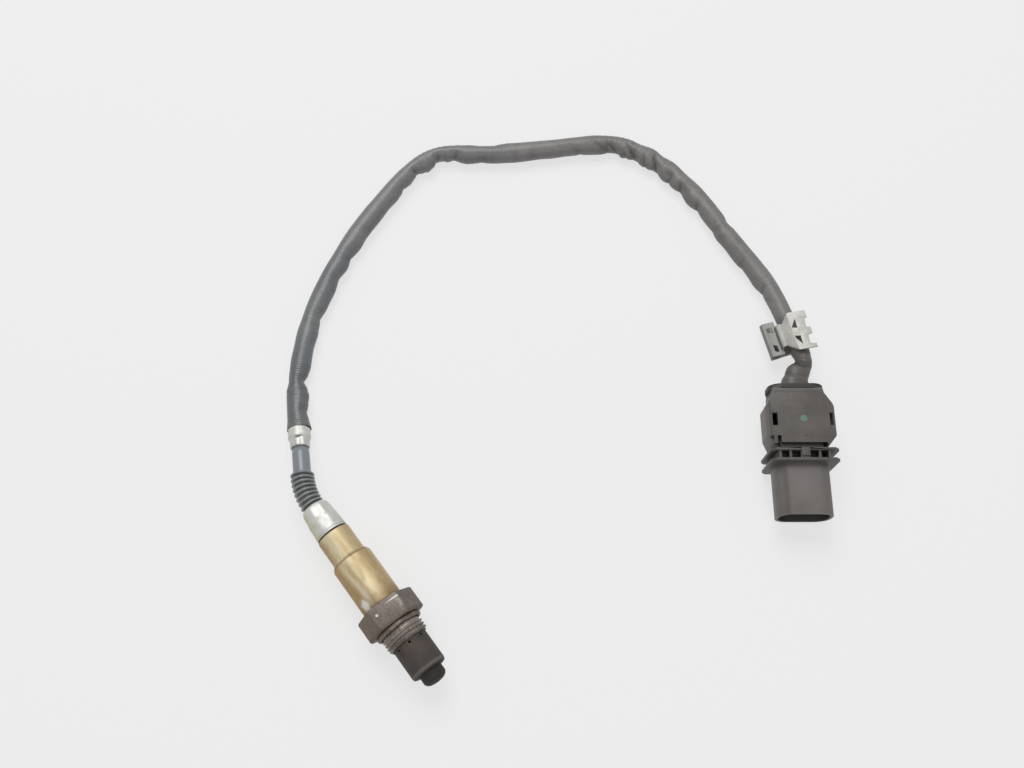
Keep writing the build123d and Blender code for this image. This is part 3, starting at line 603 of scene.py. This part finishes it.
# Stainless steel with a straw temper film: warm and dull, in clouds of 13 mm and a mottle of
# 2.4 mm, browner in drawn streaks along it and towards the hexagon. One scuff shows bare metal.
straw_steel = new_finish("straw-tempered stainless steel")
place = (add(straw_steel, "TexCoord"), "Object")
side = add(straw_steel, "SeparateXYZ", {"Vector": place})
drawn_out = add(straw_steel, "Mapping", {"Vector": place, "Scale": (0.22, 1.0, 1.0)})
streak = add(straw_steel, "TexNoise", {"Vector": (drawn_out, 0), "Scale": 1 / (3.85 * MM), "Detail": 4.0,
                                       "Roughness": 0.6})
cloud = add(straw_steel, "TexNoise", {"Vector": place, "Scale": 1 / (13.3 * MM), "Detail": 4.0,
                                      "Roughness": 0.55})
mottle = add(straw_steel, "TexNoise", {"Vector": place, "Scale": 1 / (2.38 * MM), "Detail": 5.0,
                                       "Roughness": 0.7})
seam_shade = add(straw_steel, "Attribute", attribute_name="groove")
side_shade_and_tint = add(straw_steel, "Math", {0: (cloud, "Fac"), 1: 5 * MM, 2: (side, "Y")}, operation="MULTIPLY_ADD")
drift = add(straw_steel, "Math", {0: (cloud, "Fac"), 1: 0.5}, operation="SUBTRACT")
forward = add(straw_steel, "Math", {0: (drift, 0), 1: 14 * MM, 2: (side, "X")}, operation="MULTIPLY_ADD")
scuff = spot_mask(straw_steel, place, mottle, (3.9, -5.9, 17.3), (2.7, 1.5, 2.4), 0.35, 0.95)
smear = spot_mask(straw_steel, place, mottle, (0.6, -3.4, 19.0), (4.2, 1.0, 1.6), 0.7, 0.4)
bare = add(straw_steel, "Math", {0: (scuff, "Result"), 1: (smear, "Result")}, operation="MAXIMUM")
tint = layered(
    # towards both sides the sleeve is darker and browner: partly temper tint, partly painted shade that sets
    # where its highlight falls
    straw_steel, "#CFC2A1", ((side_shade_and_tint, 0), -0.8 * MM, -4.5 * MM, 0.95, "#A3855C", "SMOOTHSTEP"),
    ((side_shade_and_tint, 0), 1.2 * MM, 5.5 * MM, 0.8, "#B39F79", "SMOOTHSTEP"),
    ((streak, "Fac"), 0.44, 0.60, 0.75, "#A58C64"),
    ((forward, 0), -3.5 * MM, 7 * MM, 0.85, "#87714F", "SMOOTHSTEP"),
    # the mottle, then painted shade at the weld and the shoulder
    ((mottle, "Fac"), 0.45, 0.7, 0.25, "#C9BD9C"), ((seam_shade, "Fac"), 0.0, 1.0, 1.0, "#64503A"),
    ((bare, 0), 0.0, 1.0, 1.0, "#DEDACF"))
metal = add(straw_steel, "MapRange", {"Value": (bare, 0), 1: 0.0, 2: 1.0, 3: 0.62, 4: 0.2})
coated(straw_steel, tint, (mottle, "Fac"), 0.2, 0.1 * MM, {"Metallic": (metal, "Result"), "Roughness": 0.56})
piece("stepped_sleeve", stepped_mesh, [straw_steel], "heat_tinted_steel", "stepped_sleeve")

# ---- Hexagon, thread and gasket -----------------------------------------------------------
# The shell is turned from heat-resistant steel bar: hexagon for the wrench, relief, and a rolled
# M18 x 1.5 thread. Exhaust heat and road grime have turned it brown-grey, bare on a few edges.


def softened(name, width, limit=28.0, segments=2):
    """A welded copy of a node's mesh with its sharp edges rounded. Rounded strips are marked."""
    work = bmesh.new()
    work.from_mesh(node[name].data)
    bmesh.ops.remove_doubles(work, verts=work.verts, dist=2e-6)
    bmesh.ops.dissolve_limit(work, angle_limit=radians(0.8), verts=work.verts, edges=work.edges)
    marked = work.loops.layers.float_color.new("edge_wear")
    sharp = [e for e in work.edges if len(e.link_faces) == 2 and e.calc_face_angle(0.0) > radians(limit)]
    rounded = bmesh.ops.bevel(work, geom=sharp, offset=width, offset_type="OFFSET", segments=segments,
                              profile=0.5, affect="EDGES", clamp_overlap=True, material=-1)
    strips = set(rounded["faces"])
    for face in work.faces:
        face.smooth = True
        for corner in face.loops:
            corner[marked] = (1.0, 1.0, 1.0, 1.0) if face in strips else (0.0, 0.0, 0.0, 1.0)
    return work


def finish_mesh(work, name, sharp_above=38.0):
    """Turns a worked bmesh into a mesh whose edges stay crisp above that angle."""
    mesh = bpy.data.meshes.new(name)
    bmesh.ops.recalc_face_normals(work, faces=work.faces)
    work.to_mesh(mesh)
    work.free()
    mesh.set_sharp_from_angle(angle=radians(sharp_above))
    return mesh


thread_root, thread_pitch = 8.15 * MM, 1.5 * MM
shell = softened("hex_shell", 0.16 * MM)
for v in shell.verts:
    back = v.co.x - seat
    r = sqrt(v.co.y ** 2 + (v.co.z - axis_z) ** 2)
    if back > 2.1 * MM and r > thread_root:
        v.co.y *= thread_root / r
        v.co.z = axis_z + (v.co.z - axis_z) * thread_root / r
ridge_from, ridge_to, around = 2.65 * MM, 7.75 * MM, 64
turns = (ridge_to - ridge_from) / thread_pitch
corners = ((-0.70, 8.0), (-0.16, 8.88), (-0.06, 9.0), (0.10, 9.0), (0.20, 8.86), (0.72, 8.0))
tooth = [shell.verts.new((seat + ridge_from + x * MM, 0.0, axis_z + r * MM)) for x, r in corners]
tooth_face = shell.faces.new(tooth)
before = set(shell.verts) - set(tooth)
bmesh.ops.spin(shell, geom=[tooth_face], cent=(seat, 0, axis_z), axis=(1, 0, 0), angle=2 * pi * turns,
               steps=int(around * turns), dvec=((ridge_to - ridge_from) / int(around * turns), 0, 0))
for v in shell.verts:
    if v in before:
        continue
    back = v.co.x - seat
    r = sqrt(v.co.y ** 2 + (v.co.z - axis_z) ** 2)
    fade = ramp(back, 1.75 * MM, 2.85 * MM) * ramp(back, 8.0 * MM, 7.3 * MM)
    nick = 0.10 * MM * max(0.0, noise.noise(v.co * 700.0)) if r > 8.7 * MM else 0.0
    wanted = 8.0 * MM + (r - 8.0 * MM) * fade - nick
    v.co.y *= wanted / r
    v.co.z = axis_z + (v.co.z - axis_z) * wanted / r
for face in shell.faces:
    face.smooth = True
shell_mesh = finish_mesh(shell, "hexagon_shell", 30.0)

# Ferritic stainless steel after heat cycles: dull brown-grey scale, clouded 7 mm wide with rust
# specks of 1.1 mm, pale where edges rub bare.
scaled_steel = new_finish("heat-scaled stainless steel")
place = (add(scaled_steel, "TexCoord"), "Object")
side = add(scaled_steel, "SeparateXYZ", {"Vector": place})
cloud = add(scaled_steel, "TexNoise", {"Vector": place, "Scale": 1 / (6.67 * MM), "Detail": 6.0,
                                       "Roughness": 0.6})
grit = add(scaled_steel, "TexNoise", {"Vector": place, "Scale": 1 / (1.11 * MM), "Detail": 4.0,
                                      "Roughness": 0.7})
edge = add(scaled_steel, "Attribute", attribute_name="edge_wear")
blot = add(scaled_steel, "Math", {0: (cloud, "Fac"), 1: 4 * MM, 2: (side, "X")}, operation="MULTIPLY_ADD")
rubbed = add(scaled_steel, "MapRange", {"Value": (cloud, "Fac"), 1: 0.52, 2: 0.64, 3: 0.0, 4: 0.55})
worn = add(scaled_steel, "Math", {0: (edge, "Fac"), 1: (rubbed, "Result")}, operation="MULTIPLY")
# a wrench has left one bright line, a rubbed corner and a small nick
scratch = spot_mask(scaled_steel, place, cloud, (8.5, 5.5, 22.0), (0.30, 3.7, 0.8), 0.4, 1.0)
rub = spot_mask(scaled_steel, place, grit, (10.4, 7.0, 22.0), (1.8, 1.5, 0.8), 0.8, 0.35)
chip = spot_mask(scaled_steel, place, grit, (10.4, -4.4, 22.0), (0.55, 0.5, 0.8), 0.4, 1.0)
marks = add(scaled_steel, "Math", {0: (scratch, "Result"), 1: (rub, "Result")}, operation="MAXIMUM")
bare = add(scaled_steel, "Math", {0: (marks, 0), 1: (chip, "Result")}, operation="MAXIMUM")
tint = layered(
    scaled_steel, "#685F58", ((cloud, "Fac"), 0.32, 0.68, 1.0, "#7E756F"),
    ((side, "Y"), -5.5 * MM, -7.5 * MM, 0.75, "#6F6352"),
    ((blot, 0), seat + 0.3 * MM, seat + 1.5 * MM, 0.75, "#544A43"),
    # the thread is cleaner than the hexagon, and sooted again at its end
    ((side, "X"), seat + 0.9 * MM, seat + 1.7 * MM, 0.9, "#A79D97"),
    ((side, "X"), seat + 3.7 * MM, seat + 8.7 * MM, 1.0, "#5A524D"),
    ((grit, "Fac"), 0.50, 0.64, 0.65, "#54473D"), ((worn, 0), 0.0, 1.0, 1.0, "#A8A092"),
    ((bare, 0), 0.0, 1.0, 1.0, "#DAD6C6"))
metal = add(scaled_steel, "MapRange", {"Value": (bare, 0), 1: 0.0, 2: 1.0, 3: 0.55, 4: 0.0})
coated(scaled_steel, tint, (grit, "Fac"), 0.5, 0.15 * MM, {"Metallic": (metal, "Result"), "Roughness": 0.55})
piece("threaded_hexagon", shell_mesh, [scaled_steel], "body_steel", "hex_shell")

# The captive gasket is a folded steel ring, left on the shank and flattened once already.
folded_ring = [(0.0, 8.35), (0.0, 9.5), (0.12, 9.82), (0.35, 10.02), (0.7, 10.1), (0.95, 10.02), (1.2, 10.08),
               (1.55, 10.0), (1.78, 9.8), (1.9, 9.5), (1.9, 9.1), (1.6, 8.85), (0.95, 8.35)]
gasket_mesh = spun("gasket", [(x * MM, r * MM) for x, r in folded_ring], 96, closed=True)
on_body(gasket_mesh)

# Mild steel sheet: duller and browner than the shell, clouded about 4 mm wide.
dull_ring = new_finish("scaled mild steel gasket")
place = (add(dull_ring, "TexCoord"), "Object")
cloud = add(dull_ring, "TexNoise", {"Vector": place, "Scale": 1 / (3.85 * MM), "Detail": 5.0,
                                    "Roughness": 0.6})
tint = layered(dull_ring, "#5C5148", ((cloud, "Fac"), 0.35, 0.65, 1.0, "#877A71"))
coated(dull_ring, tint, (cloud, "Fac"), 0.3, 0.1 * MM, {"Metallic": 0.7, "Roughness": 0.6})
piece("sealing_ring", gasket_mesh, [dull_ring], "gasket_steel", "sealing_gasket")

# ---- Protection tubes ---------------------------------------------------------------------
# Two deep-drawn stainless cups over the element, one in the other. The inner one shows as a
# domed cap at the tip. Exhaust gas enters by small holes; soot covers both in matt black-brown.

# Soot on drawn stainless steel: matt black-brown clouds of 9 mm, with grit of 0.9 mm. Steel shows
# faintly along rubbed edges.
sooty = new_finish("soot on drawn stainless steel")
place = (add(sooty, "TexCoord"), "Object")
side = add(sooty, "SeparateXYZ", {"Vector": place})
cloud = add(sooty, "TexNoise", {"Vector": place, "Scale": 1 / (9.09 * MM), "Detail": 6.0, "Roughness": 0.65})
grit = add(sooty, "TexNoise", {"Vector": place, "Scale": 1 / (0.909 * MM), "Detail": 4.0, "Roughness": 0.75})
edge = add(sooty, "Attribute", attribute_name="edge_wear")
near_thread = add(sooty, "MapRange", {"Value": (side, "X"), 1: seat + 12.7 * MM, 2: seat + 9.9 * MM,
                                      3: 0.0, 4: 1.0})
blot = add(sooty, "MapRange", {"Value": (cloud, "Fac"), 1: 0.44, 2: 0.56, 3: 0.0, 4: 0.6})
rusty = add(sooty, "Math", {0: (near_thread, "Result"), 1: (blot, "Result")}, operation="MULTIPLY")
rubbed = add(sooty, "MapRange", {"Value": (cloud, "Fac"), 1: 0.40, 2: 0.56, 3: 0.1, 4: 0.8})
worn = add(sooty, "Math", {0: (edge, "Fac"), 1: (rubbed, "Result")}, operation="MULTIPLY")
from_rim = add(sooty, "Math", {0: (side, "X"), 1: seat + 20.8 * MM}, operation="SUBTRACT")
highlight_band_gap = add(sooty, "Math", {0: (from_rim, 0)}, operation="ABSOLUTE")
tint = layered(
    sooty, "#332F2B", ((cloud, "Fac"), 0.3, 0.7, 1.0, "#4C443E"), ((grit, "Fac"), 0.60, 0.74, 0.4, "#6E6960"),
    # rust blots beside the thread, and edges rubbed paler
    ((rusty, 0), 0.0, 1.0, 1.0, "#61493B"), ((worn, 0), 0.0, 1.0, 1.0, "#7E7972"),
    # a painted highlight as a paler band near the outer cup's end, and painted shade in the gap round the
    # inner cup's tip, which also darkens the tip itself almost to black
    ((highlight_band_gap, 0), 0.9 * MM, 0.3 * MM, 0.35, "#857F76"),
    ((side, "X"), seat + 21.5 * MM, seat + 22.1 * MM, 0.85, "#1F1D1A"))
coated(sooty, tint, (grit, "Fac"), 0.5, 0.12 * MM, {"Metallic": 0.2, "Roughness": 0.72})
for cup, rounding in (("outer", 0.12), ("inner", 0.10)):
    cup_mesh = finish_mesh(softened(f"{cup}_protection_tube", rounding * MM, 40.0), f"{cup}_tube", 30.0)
    piece(f"{cup}_tube", cup_mesh, [sooty], "sooted_steel", f"{cup}_protection_tube")

# ---- Sheet-metal clip ---------------------------------------------------------------------
# One strip of zinc-plated spring steel 0.8 mm thick, folded over, beside and under the lead. The
# top plate has two windows and a notched edge that hooks on a bracket of the car. A narrower
# web with a raised bead joins it to the side plate.
clip_mesh = finish_mesh(softened("cable_clip", 0.14 * MM, 30.0), "clip", 32.0)

# Zinc plate gone dull: pale grey, clouded about 4 mm wide, brighter along its edges. The side
# plate is painted darker than the top plate and the web, as painted shade where it leans away
# from the light. Across_clip points level from it to the top plate, and web_end is how far along
# that the web meets it.
across_clip, web_end = (0.43534, 0.900266, 0.0), 190.3 * MM
zinc = new_finish("zinc-plated spring steel")
place = (add(zinc, "TexCoord"), "Object")
cloud = add(zinc, "TexNoise", {"Vector": place, "Scale": 1 / (4.17 * MM), "Detail": 5.0, "Roughness": 0.6})
edge = add(zinc, "Attribute", attribute_name="edge_wear")
beside = add(zinc, "VectorMath", {0: place, 1: across_clip}, operation="DOT_PRODUCT")
tint = layered(
    zinc, "#A8A8A3", ((cloud, "Fac"), 0.32, 0.68, 1.0, "#C0BFB9"),
    # painted shade on the side plate
    ((beside, "Value"), web_end, web_end - 0.7 * MM, 0.85, "#6E706C"),
    ((edge, "Fac"), 0.0, 1.0, 0.5, "#D4D3CC"))
coated(zinc, tint, (cloud, "Fac"), 0.3, 0.15 * MM, {"Metallic": 0.5, "Roughness": 0.55})
clip = piece("lead_clip", clip_mesh, [zinc], "clip_steel", "cable_clip")

# ---- Plug cover ---------------------------------------------------------------------------
# Rear half of the plug, moulded in glass-filled nylon: a wide lip round the lead's hole, cut
# corners, two latch slots. A drop of green paint marks the plug, and dust greys the plastic.
plug_rim, plug_turn = Vector((37.4, 191.6, 11.25)) * MM, radians(-37.2)


def on_plug(a, b, c):
    """A point of the plug: a along it from the rear rim, b across it, c up, in millimetres."""
    return plug_rim + Vector((a * cos(plug_turn) - b * sin(plug_turn),
                              a * sin(plug_turn) + b * cos(plug_turn), c)) * MM


def plug_place(p):
    """The a, b, c of a point, in millimetres."""
    way = (p - plug_rim) / MM
    return (way.x * cos(plug_turn) + way.y * sin(plug_turn),
            way.y * cos(plug_turn) - way.x * sin(plug_turn), way.z)


cover = softened("plug_cover", 0.38 * MM, 24.0, 3)
inside = cover.verts.layers.float.new("inside")
# the inside layer holds painted shade, near black, under the cover's front ledge and under its top
for v in cover.verts:
    a, b, c = plug_place(v.co)
    in_front = a > 26.6 and c < 7.9 and b > -8.4
    under_top = 15 < a < 30 and c < 6.5 and abs(b) < 10
    v[inside] = 0.7 if in_front or under_top else 0.0
dot_place, dot_r, dot_thick = on_plug(15.9, 1.0, 8.56), 1.5 * MM, 0.04 * MM
dot = bmesh.ops.create_circle(cover, cap_ends=True, segments=32, radius=dot_r)["verts"]
bmesh.ops.translate(cover, verts=dot, vec=dot_place - Vector((0, 0, dot_thick)))
dot_faces = {face for v in dot for face in v.link_faces}
skirt = bmesh.ops.extrude_face_region(cover, geom=list(dot_faces))["geom"]
risen = [g for g in skirt if isinstance(g, bmesh.types.BMVert)]
bmesh.ops.translate(cover, verts=risen, vec=(0, 0, dot_thick))
for face in cover.faces:
    middle = face.calc_center_median()
    by_dot = (middle - dot_place).length < dot_r + 0.2 * MM and middle.z > dot_place.z - 0.05 * MM
    if by_dot and face.calc_area() < 1e-5:
        face.material_index = 1
cover_mesh = finish_mesh(cover, "plug_cover", 34.0)

# Glass-filled nylon, moulded and dusty: dark warm grey and half matt, clouded 10 mm wide. Dust in
# its texture is drawn as specks of 0.8 mm, as coarse as it takes to show.
nylon = new_finish("dusty glass-filled nylon")
place = (add(nylon, "TexCoord"), "Object")
up = add(nylon, "SeparateXYZ", {"Vector": place})
cloud = add(nylon, "TexNoise", {"Vector": place, "Scale": 1 / (10.5 * MM), "Detail": 5.0, "Roughness": 0.6})
grit = add(nylon, "TexNoise", {"Vector": place, "Scale": 1 / (0.769 * MM), "Detail": 3.0, "Roughness": 0.7})
edge = add(nylon, "Attribute", attribute_name="edge_wear")
inner_shade = add(nylon, "Attribute", attribute_name="inside")
flank_tone = layered(nylon, "#57534F", ((cloud, "Fac"), 0.32, 0.68, 1.0, "#6A6561"))
darker_tone = layered(nylon, "#322E2C", ((cloud, "Fac"), 0.32, 0.68, 1.0, "#3D3936"))
# distances along and across the plug, from the middle of its rear rim
plug_way = Vector((cos(plug_turn), sin(plug_turn), 0.0))
cross_way = Vector((-plug_way.y, plug_way.x, 0.0))
run = add(nylon, "VectorMath", {0: place, 1: tuple(plug_way)}, operation="DOT_PRODUCT")
down_plug = add(nylon, "Math", {0: (run, "Value"), 1: plug_way.dot(plug_rim)}, operation="SUBTRACT")
span = add(nylon, "VectorMath", {0: place, 1: tuple(cross_way)}, operation="DOT_PRODUCT")
over_plug = add(nylon, "Math", {0: (span, "Value"), 1: cross_way.dot(plug_rim)}, operation="SUBTRACT")
# the flanks and the hood are paler and the rim, the cover's top and its front with the flanges darker; the
# pale flanks are partly painted light bounced from the table
on_top = add(nylon, "MapRange", {"Value": (up, "Z"), 1: 18.5 * MM, 2: 19.3 * MM, 3: 0.0, 4: 0.6})
behind_hood = add(nylon, "MapRange", {"Value": (down_plug, 0), 1: 37.2 * MM, 2: 35.8 * MM, 3: 0.0, 4: 1.0})
front = add(nylon, "MapRange", {"Value": (down_plug, 0), 1: 25.6 * MM, 2: 27.2 * MM, 3: 0.0, 4: 0.8})
rim_shade = add(nylon, "MapRange", {"Value": (down_plug, 0), 1: 2.2 * MM, 2: 1.4 * MM, 3: 0.0, 4: 0.9})
top_and_front = add(nylon, "Math", {0: (on_top, "Result"), 1: (front, "Result")}, operation="MAXIMUM")
rear_half = add(nylon, "Math", {0: (top_and_front, 0), 1: (behind_hood, "Result")}, operation="MULTIPLY")
darker_share = add(nylon, "Math", {0: (rear_half, 0), 1: (rim_shade, "Result")}, operation="MAXIMUM")
base = add(nylon, "Mix", {0: (darker_share, 0), 6: flank_tone, 7: darker_tone}, data_type="RGBA")
# a painted highlight as a paler patch on the hood's top, and painted shade as a dark line where it turns down
hood_highlight = spot_mask(nylon, place, cloud, on_plug(41.5, -1.0, 7.9) / MM, (7.0, 7.0, 3.0), 0.9, 0.45)
aside = add(nylon, "Math", {0: (over_plug, 0), 1: 8.3 * MM}, operation="ADD")
near = add(nylon, "Math", {0: (aside, 0)}, operation="ABSOLUTE")
turn_down = add(nylon, "MapRange", {"Value": (near, 0), 1: 1.6 * MM, 2: 0.3 * MM, 3: 0.0, 4: 0.45})
on_hood = add(nylon, "MapRange", {"Value": (down_plug, 0), 1: 36.0 * MM, 2: 37.5 * MM, 3: 0.0, 4: 1.0})
hood_edge_shade = add(nylon, "Math", {0: (turn_down, "Result"), 1: (on_hood, "Result")}, operation="MULTIPLY")
# a moulding gate's pit near the cover's front edge
pit = spot_mask(nylon, place, cloud, on_plug(23.35, 1.4, 8.5) / MM, (0.55, 0.55, 0.9), 0.3, 0.9)
tint = layered(
    # painted shade, near black, on the lip round the lead's hole
    nylon, (base, 2), ((rim_shade, "Result"), 0.0, 1.0, 1.0, "#0D0B0A"),
    ((hood_highlight, "Result"), 0.0, 1.0, 1.0, "#7C7677"),
    ((hood_edge_shade, 0), 0.0, 1.0, 1.0, "#2C2927"), ((grit, "Fac"), 0.58, 0.72, 0.35, "#7F7973"),
    # worn edges, then painted shade near black in the plug's hollows
    ((edge, "Fac"), 0.0, 1.0, 0.35, "#74706B"), ((inner_shade, "Fac"), 0.0, 1.0, 1.0, "#0D0C0B"),
    ((pit, "Result"), 0.0, 1.0, 1.0, "#262422"))
coated(nylon, tint, (grit, "Fac"), 0.3, 0.1 * MM, {"Roughness": 0.52, "IOR": 1.53})

# Quick-drying marking paint: a thin grey-green drop, paler towards its rim where it ran thin.
paint = new_finish("green marking paint")
place = (add(paint, "TexCoord"), "Object")
from_dot = add(paint, "VectorMath", {0: place, 1: tuple(dot_place)}, operation="DISTANCE")
blot = add(paint, "TexNoise", {"Vector": place, "Scale": 1 / (0.667 * MM), "Detail": 3.0})
ragged = add(paint, "Math", {0: (blot, "Fac"), 1: 0.6 * MM, 2: (from_dot, "Value")}, operation="MULTIPLY_ADD")
tint = layered(paint, "#4F7C66", ((ragged, 0), 0.9 * MM, 1.7 * MM, 1.0, "#66716A"))
shader = add(paint, "BsdfPrincipled", {"Base Color": tint, "Roughness": 0.5, "IOR": 1.5})
surface(paint, shader)
plug_cover = piece("plug_rear_cover", cover_mesh, [nylon, paint], "plug_plastic", "plug_cover")

# ---- Plug housing, pins and lock ----------------------------------------------------------
# Front half of the plug in the same nylon: two flanges joined by ribs, and an oval hood round
# six flat pins that a small lock plate holds.
housing = softened("plug_housing", 0.26 * MM, 24.0, 3)
inside = housing.verts.layers.float.new("inside")
for v in housing.verts:
    a, b, c = plug_place(v.co)
    # painted shade, near black, inside the hood's mouth and in the windows between the flanges
    past_oval = sqrt(max(abs(b + 0.5) - 5.2, 0.0) ** 2 + max(abs(c) - 1.5, 0.0) ** 2)
    in_hood = a > 36.6 and past_oval < 5.7
    in_window = 29.3 < a < 33.6 and c < 8.8 and abs(b) < 12.0
    v[inside] = 0.95 if in_hood else 0.8 if in_window else 0.0
housing_mesh = finish_mesh(housing, "plug_housing", 34.0)
plug_housing = piece("plug_front_housing", housing_mesh, [nylon], "plug_plastic", "plug_housing")

# Stamped brass with a tin coat: smooth and bright, faintly clouded 2 mm wide.
tin = new_finish("tin-plated brass")
place = (add(tin, "TexCoord"), "Object")
cloud = add(tin, "TexNoise", {"Vector": place, "Scale": 1 / (2 * MM), "Detail": 3.0})
tint = layered(tin, "#B9B6AC", ((cloud, "Fac"), 0.35, 0.65, 1.0, "#CFCDC4"))
shader = add(tin, "BsdfPrincipled", {"Base Color": tint, "Metallic": 1.0, "Roughness": 0.32})
surface(tin, shader)

# ---- Wires and closed inner pieces --------------------------------------------------------
# Five silicone-coated wires of five colours, spring contacts, ceramic holder halves, bushes and
# the zirconia strip. All are shut inside, and each keeps its solid with its own finish.


def inner_finish(name, low, high, cloud_mm, metallic, rough):
    """A mottled finish between two colours, for pieces that stay shut inside the body."""
    finish = new_finish(name)
    place = (add(finish, "TexCoord"), "Object")
    cloud = add(finish, "TexNoise", {"Vector": place, "Scale": 1 / (cloud_mm * MM), "Detail": 4.0})
    tint = layered(finish, low, ((cloud, "Fac"), 0.35, 0.65, 1.0, high))
    coated(finish, tint, (cloud, "Fac"), 0.15, 0.1 * MM, {"Metallic": metallic, "Roughness": rough})
    return finish


steatite = inner_finish("fired steatite ceramic", "#D8D2C4", "#E8E3D8", 3.33, 0.0, 0.6)
talc = inner_finish("pressed talc powder", "#A9A59C", "#BDB9B0", 1.25, 0.0, 0.85)
zirconia = inner_finish("sintered zirconia strip", "#E6E4DF", "#F2F0EB", 3.33, 0.0, 0.35)
spring = inner_finish("nickel spring alloy", "#B5B2AA", "#CBC8C0", 2.5, 1.0, 0.35)
fluoro = inner_finish("fluoro rubber plug", "#2E2C2B", "#3B3937", 2.5, 0.0, 0.6)
lock_red = inner_finish("moulded polyester lock", "#7C3A30", "#8B453A", 3.33, 0.0, 0.5)
insulation = [inner_finish(f"{word} silicone insulation", low, high, 2.0, 0.0, 0.5)
              for word, low, high in (("black", "#252525", "#323232"), ("white", "#D9D7D0", "#E6E4DE"),
                                      ("grey", "#7E7E7C", "#8E8E8C"), ("red", "#8E2F27", "#A33A31"),
                                      ("yellow", "#B99A35", "#C9AB49"))]
for finish, names in (
        (steatite, ["front_ceramic_bush", "rear_ceramic_bush", "contact_holder_upper",
                    "contact_holder_lower"]),
        (talc, ["powder_seal"]), (zirconia, ["sensing_element"]), (fluoro, ["seal_plug"]),
        (spring, ["retaining_ring", "contact_holder_band"] + [f"contact_{i}" for i in range(1, 6)]),
        (lock_red, ["pin_lock"]), (tin, [f"plug_pin_{i}" for i in range(1, 7)])):
    for name in names:
        node[name].material_slots[0].material = finish
for i, finish in enumerate(insulation):
    node[f"body_wire_{i + 1}"].material_slots[0].material = finish
    node[f"plug_wire_{i + 1}"].material_slots[0].material = finish
